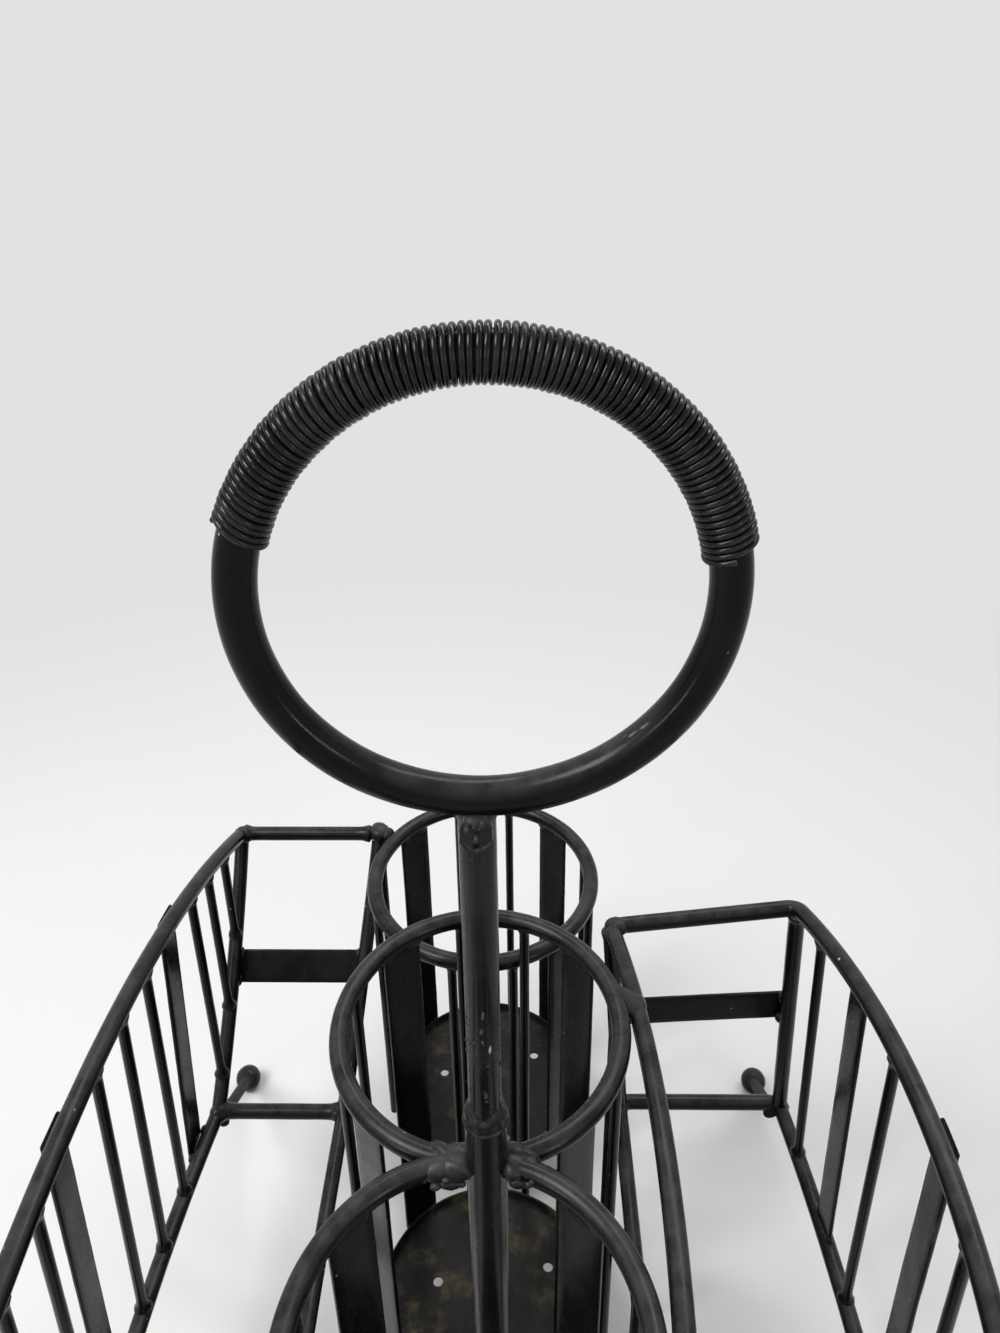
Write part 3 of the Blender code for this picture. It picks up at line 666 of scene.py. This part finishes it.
def spaced(start, end, size, corner):
    """Values from start to end; those nearer than corner to either end are left out."""
    count = max(2, round(abs(end - start) / size))
    values = [start + (end - start) * index / count for index in range(count + 1)]
    kept = [value for value in values[1:-1] if min(abs(value - start), abs(value - end)) > corner]
    return [start, *kept, end]


def sweep(rail, start, corner):
    """Points along a rail from end to end; those nearer than corner to either end are left out."""
    return [rail(y) for y in spaced(start, -start, 0.004, corner)]


# Ring handle, and the post that carries it.
handle_turn = Matrix.Rotation(HANDLE_TURN, 3, "Z") @ Matrix.Rotation(math.pi / 2, 3, "X")
handle_centre = Vector((HANDLE_SHIFT, 0, HANDLE_HEIGHT))
handle = Piece("ring_handle", 11)
ring(handle, handle_centre, HANDLE_RADIUS, HANDLE_ROD, 28, 220, handle_turn, 0.016)
handle.finish(handle_paint, "handle_ring")

post = Piece("post_and_welds", 12)
post_head = Vector((0, 0, HANDLE_HEIGHT - HANDLE_RADIUS - HANDLE_ROD / 2 - GAP))
rod(post, straight((0, 0, 0.2024), post_head, 0.003), POST_ROD, sides=28, lumps=0.02)


# Weld metal where the ring sits on the post, drawn down into a tongue on the front and back.
def head_weld(turn, height):
    down = post_head.z - height
    face = abs(math.degrees(turn) % 180 - 90)
    width = 44 * (1 - ease(down, 0.0026, 0.0080) ** 1.6)
    thick = 0.0021 * ease(width - face, -2, 9) * ease(down, -0.0034, -0.0006)
    thick -= 0.0006 * ease(width - face, 8, 26)
    thick += 0.0007 * math.exp(-(((width - face - 7) / 3.5) ** 2)) * ease(down, -0.0010, 0.0010)
    thick -= 0.0013 * math.exp(-((face / 9) ** 2) - ((down - 0.0060) / 0.0007) ** 2)
    collar = 0.0007 * ease(down, 0.0014, 0.0) * ease(down, -0.0030, -0.0010)
    return POST_ROD / 2 - 0.00035 + max(thick, collar)


sleeve(post, post_head.z - 0.0100, post_head.z + 0.0034, head_weld, 34)
for face in (-1, 1):
    for x, lift, size in (
        (-0.0020, 0.0004, (0.0015, 0.0009, 0.0009)),
        (0.0014, 0.0010, (0.0011, 0.0010, 0.0019)),
        (0.0000, -0.0024, (0.0017, 0.0008, 0.0009)),
    ):
        bead(post, post_head + Vector((x, face * 0.0059, lift)), size, (0.3, 0, 1), lumps=0.45)


# Weld metal that fills the step between post and tube and ends in a lip on the tube.
def foot_weld(turn, height):
    up = height - TUBE_TOP
    radius = 0.00585 + 0.0009 * ease(up, -0.0044, -0.0038)
    radius -= 0.0005 * ease(up, -0.0036, -0.0028)
    ragged = 0.0010 * math.sin(3 * turn + 0.7) + 0.0006 * math.sin(7 * turn)
    return radius - 0.0016 * ease(up + ragged, -0.0005, 0.0034)


sleeve(post, TUBE_TOP - 0.0046, TUBE_TOP + 0.0046, foot_weld, 30)
for _ in range(34):
    turn = math.radians(post.dice.uniform(-170, -10))
    height = post.dice.uniform(TUBE_TOP + 0.0025, 0.262)
    size = post.dice.uniform(0.0002, 0.0005) * (1.3 if height < 0.232 else 1.0)
    at = Vector((0.00468 * math.cos(turn), 0.00468 * math.sin(turn), height))
    bead(post, at, (size,) * 3, detail=2)
post.finish(post_sheen_paint, "centre_post")

tube = Piece("socket_tube", 13)
rod(tube, straight((0, 0, 0.0334), (0, 0, TUBE_TOP - 0.0006)), TUBE_OD, sides=28)
HIGH = RING_Z["high"]
for side in (-1, 1):
    for x, y, z, size in (
        (-0.0092, 0.0016, 0.0006, (0.0058, 0.0044, 0.0034)),
        (-0.0138, 0.0016, 0.0004, (0.0056, 0.0042, 0.0033)),
        (-0.0182, 0.0022, -0.0002, (0.0020, 0.0032, 0.0030)),
        (-0.0105, 0.0044, -0.0018, (0.0040, 0.0022, 0.0020)),
        (0.0080, 0.0016, 0.0006, (0.0044, 0.0042, 0.0033)),
        (0.0118, 0.0020, 0.0002, (0.0042, 0.0038, 0.0031)),
        (0.0095, 0.0046, -0.0018, (0.0034, 0.0020, 0.0020)),
    ):
        bead(tube, (x, side * y, HIGH + z), size, lumps=0.24)
    for _ in range(7):
        x = tube.dice.choice((-1, 1)) * tube.dice.uniform(0.0062, 0.0150)
        y = side * tube.dice.uniform(0.0040, 0.0062)
        z = HIGH + tube.dice.uniform(-0.0026, 0.0006)
        bead(tube, (x, y, z), (0.0014, 0.0011, 0.0010), lumps=0.35, detail=2)
tube.finish(post_sheen_paint, "lower_tube")


def wound_grip():
    """One wire wound turn against turn; its width follows the room that each turn has."""
    turn_points = 30
    sides = 10
    total = round(GRIP_TURNS * turn_points)
    piece = Piece("wire_grip", 14)
    step = (GRIP_END - GRIP_START) / GRIP_TURNS
    whole = range(int(GRIP_TURNS) + 3)
    rise = [piece.dice.uniform(*GRIP_RISE) for _ in whole]
    slip = [piece.dice.uniform(-GRIP_SLIP, GRIP_SLIP) for _ in whole]
    centre = []
    normals = []
    widths = []
    for index in range(total + 1):
        turns = index / turn_points
        lift = np.interp(turns, whole, rise)
        slide = np.interp(turns, whole, slip)
        left = GRIP_TURNS - turns
        twist = 2 * math.pi * turns + GRIP_TWIST
        slant = GRIP_SLANT[0] * ease(turns, GRIP_SLANT_TURNS, 0)
        slant += GRIP_SLANT[1] * ease(left, GRIP_SLANT_TURNS, 0)
        around = GRIP_START + step * (turns + slide) + slant * math.cos(twist)
        end = min(turns, left) * turn_points
        reach = HANDLE_ROD / 2 + GRIP_WIRE / 2 + lift + 0.0001 * ease(end, 4, 0)
        out = Vector((math.cos(around), math.sin(around), 0))
        radial = out * math.cos(twist) + Vector((0, 0, 1)) * math.sin(twist)
        ring_reach = HANDLE_RADIUS + reach * math.cos(twist)
        spot = out * HANDLE_RADIUS + radial * reach
        centre.append(tuple(handle_centre + handle_turn @ spot))
        normals.append(tuple(handle_turn @ radial))
        widths.append(min(GRIP_WIRE / 2, 0.505 * ring_reach * step))
    points = np.array(centre)
    out = np.array(normals)
    tangent, _ = along(points, False)
    beside = np.cross(tangent, out)
    beside /= np.linalg.norm(beside, axis=1)[:, None]
    verts = []
    for spot, one, two, width in zip(points, out, beside, widths):
        for cos, sin in circle(sides):
            place = spot + one * (GRIP_WIRE / 2 * cos) + two * (width * sin)
            verts.append(tuple(place + one * 0.00004 * piece.wobble(place, 420.0)))
    piece.add(verts, skin(len(points), sides), [0.0] * len(verts))
    piece.finish(wire_paint, "grip_winding", angle=80.0)


wound_grip()


# Cups: a ring on bars and strips round a dished floor with drain holes.
def cup(number, kind, side):
    x0, y0, z0 = CUP_X[kind], CUP_Y[kind], RING_Z[kind]
    turn = CUP_TURN[kind]

    def spot(angle, radius, height):
        x = x0 + radius * math.sin(angle)
        return Vector((x, side * (y0 + radius * math.cos(angle)), height))

    cage = Piece(f"cup_{number}_ring_and_bars", 20 + number)
    ring(cage, (x0, side * y0, z0), RING_RADIUS, RING_ROD, 22, 150)
    for quarter in range(4):
        if kind == "high" and quarter == 2:
            continue
        for sign in (-1, 1):
            angle = turn + quarter * math.pi / 2 + sign * PAIR_ANGLE
            foot = spot(angle, RING_RADIUS, FLOOR_Z - FLOOR_THICKNESS + 0.0004)
            bar(cage, foot, spot(angle, RING_RADIUS, z0 - 0.0026), flare=(0.0, 0.0006))
            off = cage.dice.uniform(-0.03, 0.03)
            at = spot(angle + off, RING_RADIUS - 0.0010, z0 - 0.0030)
            bead(cage, at, (0.0013, 0.0014, 0.0011), detail=2, lumps=0.3)
    for quarter in range(4):
        angle = turn + (quarter + 0.5) * math.pi / 2
        for off in (-0.12, 0.12):
            slid = off + cage.dice.uniform(-0.03, 0.03)
            at = spot(angle + slid, RING_RADIUS - 0.001, z0 - 0.0034)
            axis = (math.cos(angle), -side * math.sin(angle), 0)
            size = (0.0014, 0.0016, cage.dice.uniform(0.002, 0.0036))
            bead(cage, at, size, axis, detail=2, lumps=0.3)
    cage.finish(rod_paint, f"cup_{number}_cage")

    radius = RING_RADIUS - THIN_ROD / 2 + STRIP / 2
    for quarter in range(4):
        angle = turn + (quarter + 0.5) * math.pi / 2
        across = (math.cos(angle), -side * math.sin(angle), 0)
        strap = Piece(f"cup_{number}_flat_{quarter + 1}", 40 + number * 4 + quarter)
        low = spot(angle, radius, FLOOR_Z - FLOOR_THICKNESS + 0.0002)
        high = spot(angle, radius, z0 - RING_ROD / 2 - 0.0002)
        flat(strap, low, high, CUP_STRIP_WIDTH, across)
        strap.finish(strip_paint, f"cup_{number}_strip_{quarter + 1}")
    dish(number, kind, side)


def dish(number, kind, side):
    """A shallow dish with drain holes, and in the high cups a hole for the tube."""
    x0, y0 = CUP_X[kind], side * CUP_Y[kind]
    edge = RING_RADIUS - THIN_ROD / 2 - GAP
    inner = edge - FLOOR_THICKNESS
    low = FLOOR_Z - FLOOR_THICKNESS
    top = FLOOR_Z + FLOOR_RIM
    profile = [(0.0006, FLOOR_Z)]
    profile += [(inner * share, FLOOR_Z) for share in (0.15, 0.3, 0.45, 0.6, 0.75, 0.88)]
    profile += [(inner - 0.0012, FLOOR_Z + 0.0002), (inner - 0.0002, FLOOR_Z + 0.0012)]
    profile += [(inner, top - 0.0006), (inner + 0.0004, top), (edge - 0.0004, top)]
    profile += [(edge, top - 0.0006), (edge, low + 0.0010), (edge - 0.0010, low)]
    profile += [(inner * share, low) for share in (0.75, 0.5, 0.25)]
    profile += [(0.0006, low)]
    form = bpy.data.meshes.new(f"cup_{number}_dish")
    count = 96
    verts = []
    piece = Piece("shape", 60 + number)
    for radius, height in profile:
        for cos, sin in circle(count):
            spot = Vector((x0 + radius * cos, y0 + radius * sin, height))
            spot.z += 0.00022 * piece.wobble(spot, 60.0)
            verts.append(tuple(spot))
    form.from_pydata(verts, [], skin(len(profile), count))
    form.materials.append(floor_paint)
    disc = put(f"cup_{number}_dish", form)
    holes = []
    for hole in range(DRAIN_HOLES):
        angle = CUP_TURN[kind] + math.radians(49.0) + hole * 2 * math.pi / DRAIN_HOLES
        x = x0 + DRAIN_OFF[0] + DRAIN_RADIUS * math.sin(angle)
        y = side * (CUP_Y[kind] - DRAIN_OFF[1] + DRAIN_RADIUS * math.cos(angle))
        holes.append((x, y, DRAIN_HOLE / 2, 24, 0.02))
    if kind == "high":
        holes.append((0, 0, TUBE_HOLE / 2, 36, 0.03))
    drill = bmesh.new()
    for x, y, reach, sides, depth in holes:
        place = Matrix.Translation((x, y, FLOOR_Z))
        size = {"segments": sides, "radius1": reach, "radius2": reach, "depth": depth}
        bmesh.ops.create_cone(drill, cap_ends=True, matrix=place, **size)
    tool_mesh = bpy.data.meshes.new("drill")
    drill.to_mesh(tool_mesh)
    drill.free()
    tool = put("drill", tool_mesh)
    step = disc.modifiers.new("holes", "BOOLEAN")
    step.operation = "DIFFERENCE"
    step.object = tool
    step.solver = "EXACT"
    graph = bpy.context.evaluated_depsgraph_get()
    done = bpy.data.meshes.new_from_object(disc.evaluated_get(graph))
    disc.modifiers.clear()
    disc.data = done
    bpy.data.objects.remove(tool, do_unlink=True)
    done.transform(Matrix.Translation(SHIFT))
    done.shade_smooth()
    done.set_sharp_from_angle(angle=math.radians(40))
    hand_over(disc, f"cup_{number}_floor")


for number, (kind, side) in enumerate((("low", 1), ("high", 1), ("high", -1), ("low", -1)), 1):
    cup(number, kind, side)


# Plate rack. Each end has a top corner and a base corner, outside and inside.
plate_top = curved(PLATE_TOP_HALF, PLATE_TOP_X, -PLATE_TOP_BOW, PLATE_CORNER_Z, PLATE_ARCH)
plate_base = curved(PLATE_BASE_HALF, PLATE_BASE_X, -PLATE_BASE_BOW, PLATE_BASE_Z)
outer = {}
inner = {}
for side in ENDS:
    outer[side] = (plate_top(side * PLATE_TOP_HALF), plate_base(side * PLATE_BASE_HALF))
    inner[side] = (
        Vector((PLATE_INNER_TOP_X, side * PLATE_TOP_HALF, PLATE_CORNER_Z)),
        Vector((PLATE_INNER_BASE_X, side * PLATE_BASE_HALF, PLATE_BASE_Z)),
    )


def slope_out(side, corners):
    """The direction down a flared end of the rack, and the direction out of it."""
    top, base = corners[side]
    slope = (base - top).normalized()
    return slope, Vector((0, side * abs(slope.z), -abs(slope.y)))


def plate_end(share, side, corners=outer):
    top, base = corners[side]
    out = slope_out(side, corners)[1]
    return top.lerp(base, share) + out * (4 * PLATE_END_BOW * share * (1 - share))


def plate_end_at(y, side):
    low, high = 0.0, 1.0
    for _ in range(40):
        middle = (low + high) / 2
        if abs(plate_end(middle, side).y) > y:
            low = middle
        else:
            high = middle
    return plate_end(low, side)


side_frame = Piece("plate_side_frame", 70)
room = PLATE_CORNER * 1.6
loop = sweep(plate_top, -PLATE_TOP_HALF, room)
marks = {0, len(loop) - 1}
shares = spaced(0.0, 1.0, 0.035, 0.07)
loop += [plate_end(share, 1) for share in shares[1:]]
marks.add(len(loop) - 1)
loop += sweep(plate_base, PLATE_BASE_HALF, room)[1:]
marks.add(len(loop) - 1)
loop += [plate_end(1 - share, -1) for share in shares[1:-1]]
rod(side_frame, bend(loop, marks, PLATE_CORNER), FRAME_ROD, cyclic=True)
for side in ENDS:
    for y in PLATE_BARS:
        if y < PLATE_BASE_HALF:
            foot, near = plate_base(side * y), 0.0024
        else:
            foot, near = plate_end_at(y, side), 0.0030
        head = plate_top(side * y)
        run = (head - foot).normalized()
        bar(side_frame, foot + run * near, head - run * 0.0026, flare=(0.0014, 0.0009))
        at = foot + run * (near + 0.0004) + Vector((0.0006, 0, 0))
        bead(side_frame, at, (0.0026, 0.0024, 0.0019), lumps=0.3, detail=2)
    for corner in outer[side]:
        at = corner + Vector((0.0012, -side * 0.0016, 0.0006))
        bead(side_frame, at, (0.0044, 0.0040, 0.0040), lumps=0.22)
side_frame.finish(rod_paint, "plate_rack_side")


def rail_direction(top, base, head_y, foot_y):
    run = Vector((0, 0, 0))
    for rail, y in ((top, head_y), (base, foot_y)):
        run += rail(y + RACK_STRIP / 2) - rail(y - RACK_STRIP / 2)
    run.z = 0
    return run.normalized()


for number, place in enumerate((1, 0, -1), 1):
    head_y, foot_y = place * PLATE_STRIP_TOP_Y, place * PLATE_STRIP_BASE_Y
    run = rail_direction(plate_top, plate_base, head_y, foot_y)
    out = Vector((-run.y, run.x, 0)) * STAND_OFF
    strap = Piece(f"plate_side_flat_{number}", 80 + number)
    low = plate_base(foot_y) + out - Vector((0, 0, FRAME_ROD / 2))
    flat(strap, low, plate_top(head_y) + out, RACK_STRIP, run)
    for rail, y, drop in ((plate_top, head_y, -0.0020), (plate_base, foot_y, 0.0012)):
        for off in (-0.55, 0.55):
            at = rail(y + off * RACK_STRIP) + out * 0.6 + Vector((0, 0, drop))
            bead(strap, at, (0.0013, 0.0018, 0.0018), lumps=0.3, detail=2)
    strap.finish(strip_paint, f"plate_rack_strip_{number}")

inner_frame = Piece("plate_inner_frame", 71)
path = [plate_end(share, 1, inner) for share in shares]
marks = {len(path) - 1}
path += [inner[1][1].lerp(inner[-1][1], share) for share in spaced(0, 1, 0.03, 0.04)[1:]]
marks.add(len(path) - 1)
path += [plate_end(1 - share, -1, inner) for share in shares[1:]]
rod(inner_frame, bend(path, marks, PLATE_CORNER), FRAME_ROD)
for side, (top, base) in inner.items():
    bead(inner_frame, top, (0.0051, 0.0051, 0.0048), lumps=0.14)
    at = top + Vector((0.0042, -side * 0.0012, -0.0004))
    bead(inner_frame, at, (0.0036,) * 3, lumps=0.25)
    at = base + Vector((-0.0026, 0, 0.0006))
    bead(inner_frame, at, (0.0034, 0.0038, 0.0036), lumps=0.25)
inner_frame.finish(rod_paint, "plate_rack_inner")

rails = (
    ("top", 0.30, PLATE_WELD / 2 - 0.0006, 0.0008, 90),
    ("base", 0.40, FRAME_ROD * 0.40, 0.0009, 94),
)
for side, word in ENDS.items():
    for which, (part, start, end, flare, seed) in enumerate(rails):
        rail = Piece(f"plate_{word}_{part}_rail", seed + side)
        first = outer[side][which] + Vector((FRAME_ROD * start, 0, 0))
        path = straight(first, inner[side][which] - Vector((end, 0, 0)), 0.003)
        rod(rail, path, FRAME_ROD, flare=(flare, flare))
        rail.finish(rod_paint, f"plate_rack_{word}_{part}")
    share = 1 - PLATE_BAND_HEIGHT / (PLATE_CORNER_Z - PLATE_BASE_Z)
    slope, out = slope_out(side, outer)
    ends = [plate_end(share, side, corners) + out * STAND_OFF for corners in (outer, inner)]
    strap = Piece(f"plate_{word}_flat", 97 + side)
    flat(strap, *ends, PLATE_BAND_WIDTH, slope)
    spots = (ends[0] - out * 0.0022 + BAND_TACK_IN, ends[1] - out * 0.0022 - BAND_TACK_IN)
    tacks(strap, spots, slope * (0.4 * PLATE_BAND_WIDTH), (0.0016, 0.0020, 0.0026), slope)
    strap.finish(strip_paint, f"plate_rack_{word}_band")

# Napkin rack.
napkin_top = curved(
    NAPKIN_TOP_HALF, NAPKIN_TOP_X, NAPKIN_TOP_BOW, NAPKIN_OUTER_Z, NAPKIN_OUTER_ARCH
)
napkin_inner = curved(
    NAPKIN_TOP_HALF, NAPKIN_INNER_X, NAPKIN_INNER_BOW, NAPKIN_INNER_Z, NAPKIN_INNER_ARCH
)
napkin_base = curved(NAPKIN_BASE_HALF, NAPKIN_BASE_X, NAPKIN_BASE_BOW, NAPKIN_BASE_Z)
inner_foot = {}
for side in ENDS:
    inner_foot[side] = Vector((NAPKIN_INNER_BASE_X, side * NAPKIN_BASE_HALF, NAPKIN_BASE_Z))

room = NAPKIN_CORNER * 1.25
rim = Piece("napkin_rim", 101)
loop = sweep(napkin_top, -NAPKIN_TOP_HALF, room)
marks = {0, len(loop) - 1, len(loop)}
loop += sweep(napkin_inner, NAPKIN_TOP_HALF, room)
marks.add(len(loop) - 1)
rod(rim, bend(loop, marks, NAPKIN_CORNER, 12), FRAME_ROD, cyclic=True)
for side in ENDS:
    for share in np.linspace(0, 1, 9):
        x, y, z = 0.0424 + 0.0086 * share, 0.0586 - 0.0008 * share, 0.1984 - 0.0046 * share
        bead(rim, (x, side * y, z), (0.0032, 0.0056 + 0.0004 * share, 0.0032), lumps=0.07)
    knob = napkin_inner(side * NAPKIN_TOP_HALF) + Vector((0.0022, -side * 0.0014, 0.0014))
    bead(rim, knob, (0.0042, 0.0040, 0.0034), lumps=0.24)
rim.finish(rod_paint, "napkin_rack_rim")

basket = Piece("napkin_basket", 102)
loop = sweep(napkin_base, -NAPKIN_BASE_HALF, room)
marks = {0, len(loop) - 1, len(loop), len(loop) + 1}
loop += [inner_foot[1], inner_foot[-1]]
rounded = bend(loop, marks, NAPKIN_CORNER, 12)
filled = []
for point, after in zip(rounded, rounded[1:] + rounded[:1]):
    filled.append(point)
    count = int((after - point).length / 0.005)
    filled += [point.lerp(after, step / (count + 1)) for step in range(1, count + 1)]
rod(basket, filled, FRAME_ROD, cyclic=True)
for side in ENDS:
    tops = (napkin_top(side * NAPKIN_TOP_HALF), napkin_inner(side * NAPKIN_TOP_HALF))
    feet = (napkin_base(side * NAPKIN_BASE_HALF), inner_foot[side])
    shift = Vector((0, -side * NAPKIN_POST_INSET, 0))
    for top, foot in zip(tops, feet):
        head = top + shift - Vector((0, 0, 0.0022))
        bar(basket, foot + shift, head, FRAME_ROD, 20, flare=(0.0010, 0.0006))
    for y in NAPKIN_BARS:
        foot = napkin_base(side * y)
        head = napkin_top(side * y)
        run = (head - foot).normalized()
        bar(basket, foot + run * 0.0022, head - run * 0.0026, flare=(0.0013, 0.0010))
basket.finish(rod_paint, "napkin_rack_basket")

for number, place in enumerate((1, 0, -1), 1):
    head_y, foot_y = place * NAPKIN_STRIP_TOP_Y, place * NAPKIN_STRIP_BASE_Y
    run = rail_direction(napkin_top, napkin_base, head_y, foot_y)
    strap = Piece(f"napkin_side_flat_{number}", 110 + number)
    low, high = napkin_base(foot_y), napkin_top(head_y)
    if place:
        out = Vector((0, 0, 0))
        low.z += FRAME_ROD / 2 - 0.0006
        high.z -= FRAME_ROD / 2 - 0.0004
    else:
        out = Vector((run.y, -run.x, 0)) * STAND_OFF
        low += out - Vector((0, 0, FRAME_ROD / 2))
        high += out
    flat(strap, low, high, RACK_STRIP, run)
    lifts = ((high, -0.0012), (low, 0.0016))
    spots = [end - out * 0.5 + Vector((0, 0, lift)) for end, lift in lifts]
    tacks(strap, spots, run * (0.45 * RACK_STRIP), (0.0013, 0.0018, 0.0016))
    strap.finish(strip_paint, f"napkin_rack_strip_{number}")

for side, word in ENDS.items():
    push = Vector((0, side * (STAND_OFF - NAPKIN_POST_INSET), 0))
    left = inner_foot[side].lerp(napkin_inner(side * NAPKIN_TOP_HALF), NAPKIN_BAND_SHARE) + push
    foot = napkin_base(side * NAPKIN_BASE_HALF)
    right = foot.lerp(napkin_top(side * NAPKIN_TOP_HALF), NAPKIN_BAND_SHARE) + push
    strap = Piece(f"napkin_{word}_flat", 120 + side)
    flat(strap, left, right, NAPKIN_BAND_WIDTH, (0, 0, 1))
    back = Vector((0, side * 0.0020, 0))
    spots = (left - back + BAND_TACK_IN, right - back - BAND_TACK_IN)
    tacks(strap, spots, Vector((0, 0, 0.4 * NAPKIN_BAND_WIDTH)), (0.0018, 0.0018, 0.0026))
    strap.finish(strip_paint, f"napkin_rack_{word}_band")


# Splayed legs on ball feet.
ball_z = BALL / 2 - BALL_FLAT
under = FRAME_ROD / 2 + LEG_ROD / 2
base_corners = {
    "plate": (-1, PLATE_BASE_X + PLATE_LEG_INSET, PLATE_BASE_HALF, PLATE_BASE_Z),
    "napkin": (1, NAPKIN_BASE_X - NAPKIN_LEG_INSET, NAPKIN_BASE_HALF, NAPKIN_BASE_Z),
}
for rack, (x_side, x, y, z) in base_corners.items():
    for side, word in ENDS.items():
        elbow = Vector((x, side * (y + LEG_PAST_CORNER), z - under))
        foot = Vector((x_side * FOOT_SPREAD / 2 - FOOT_OFFSET, side * FOOT_Y, ball_z))
        down = (foot - elbow).normalized()
        leg = Piece(f"{rack}_{word}_leg_rod", 130 + side + x_side * 4)
        start = elbow - Vector((0, side * 0.005, 0))
        path = bend([start, elbow, foot - down * BALL * 0.40], {1}, 0.005)
        path = path[:-1] + straight(path[-2], path[-1])[1:]
        rod(leg, path, LEG_ROD, sides=18, flare=(0.0003, 0.0008))
        for step in range(2):
            at = elbow - Vector((0, side * (0.0026 + 0.0030 * step), -0.0026))
            bead(leg, at, (0.0028, 0.0028, 0.0016), lumps=0.3)
        for step in range(3):
            at = foot - down * (BALL * 0.5 + 0.0006 + 0.0022 * step)
            size = 0.0036 - 0.0003 * step
            bead(leg, at, (size, size, 0.0030), down, lumps=0.16)
        leg.finish(leg_paint, f"{rack}_{word}_leg")
        ball = Piece(f"{rack}_{word}_ball_foot", 140 + side + x_side * 4)
        verts = []
        for row in range(1, 24):
            tilt = math.pi * row / 24
            for cos, sin in circle(36):
                out = Vector((math.sin(tilt) * cos, math.sin(tilt) * sin, math.cos(tilt)))
                spot = foot + out * (BALL / 2 * (1.006 + 0.012 * ball.wobble(out * 0.02, 90.0)))
                spot.x = min(max(spot.x, foot.x - 0.00619), foot.x + 0.00619)
                spot.z = max(spot.z, 0.0)
                verts.append(tuple(spot))
        faces = skin(23, 36)
        ball.add(verts, [tuple(reversed(face)) for face in faces], [0.0] * len(verts))
        ball.finish(rod_paint, f"{rack}_{word}_ball")


# Floor, light and camera.
ground = bpy.data.meshes.new("ground")
corners = [(x * GROUND_REACH, y * GROUND_REACH, 0) for x, y in ((-1, -1), (1, -1), (1, 1), (-1, 1))]
ground.from_pydata(corners, [], [(0, 1, 2, 3)])
put("ground", ground)
stone = Paint("pale_floor")
rays = stone.add("ShaderNodeLightPath").outputs
away = stone.vector("LENGTH", {0: stone.place}, "Value")
far = stone.ramp(away, 0.40, 1.05)
direct = stone.math("MAXIMUM", rays["Is Camera Ray"], rays["Is Glossy Ray"])
glow = stone.add("ShaderNodeEmission", {"Color": PALE, "Strength": 1.0}).outputs[0]
stone.shader.inputs["Base Color"].default_value = PALE_FLOOR
stone.shader.inputs["Roughness"].default_value = 0.5
stone.shader.inputs["Specular IOR Level"].default_value = 0.2
inputs = {0: stone.times(far, direct), 1: stone.shader.outputs[0], 2: glow}
both = stone.add("ShaderNodeMixShader", inputs).outputs[0]
stone.join(both, stone.tree.nodes["Material Output"].inputs["Surface"])
ground.materials.append(stone.material)

world = bpy.data.worlds.new("studio")
bpy.context.scene.world = world
world.use_nodes = True
world.node_tree.nodes.clear()
studio = Graph(world.node_tree)
rays = studio.add("ShaderNodeLightPath").outputs
seen = studio.math("MAXIMUM", rays["Is Camera Ray"], rays["Is Transmission Ray"])
seen = studio.math("MAXIMUM", seen, rays["Is Glossy Ray"])
toward = studio.add("ShaderNodeTexCoord").outputs["Generated"]
up = studio.add("ShaderNodeSeparateXYZ", {0: toward}).outputs["Z"]
sky = studio.mix(studio.ramp(up, 0.45, 0.85), PALE, OVERHEAD)
plain = studio.add("ShaderNodeBackground", {"Color": sky, "Strength": 1.0}).outputs[0]
white = {"Color": (1.0, 1.0, 1.0, 1.0), "Strength": 0.29}
lit = studio.add("ShaderNodeBackground", white).outputs[0]
both = studio.add("ShaderNodeMixShader", {0: seen, 1: lit, 2: plain}).outputs[0]
studio.add("ShaderNodeOutputWorld", {"Surface": both})


def softbox(name, place, aim, size, power):
    light = bpy.data.lights.new(name, "AREA")
    light.shape = "RECTANGLE"
    light.size, light.size_y = size
    light.energy = power
    lamp = put(name, light)
    lamp.location = place
    lamp.rotation_euler = (Vector(aim) - Vector(place)).to_track_quat("-Z", "Y").to_euler()


softbox("window", (-0.7, -0.35, 1.3), (0, 0, 0.2), (0.50, 0.65), 16.0)
softbox("sky_panel", (0.35, 0.75, 1.5), (0, 0, 0.2), (1.5, 0.25), 12.0)
softbox("left_light", (-1.2, -1.15, 0.6), (0, 0, 0.4), (0.12, 0.7), 3.4)
softbox("right_light", (1.2, -1.15, 0.6), (0, 0, 0.4), (0.12, 0.7), 3.4)

lens = bpy.data.cameras.new("camera")
lens.sensor_fit = "VERTICAL"
lens.sensor_height = 24.0
lens.lens = FOCAL / PICTURE_HEIGHT * lens.sensor_height
lens.shift_y = (CENTRE_Y - PICTURE_HEIGHT / 2) / PICTURE_HEIGHT
lens.clip_start = 0.01
lens.clip_end = 50.0
camera = put("camera", lens)
turn = Matrix.Rotation(YAW, 4, "Z") @ Matrix.Rotation(math.pi / 2 - PITCH, 4, "X")
turn @= Matrix.Rotation(ROLL, 4, "Z")
camera.matrix_world = Matrix.Translation(CAMERA_PLACE + SHIFT) @ turn
bpy.context.scene.camera = camera

bpy.context.scene.view_settings.view_transform = "Standard"

bpy.context.view_layer.update()
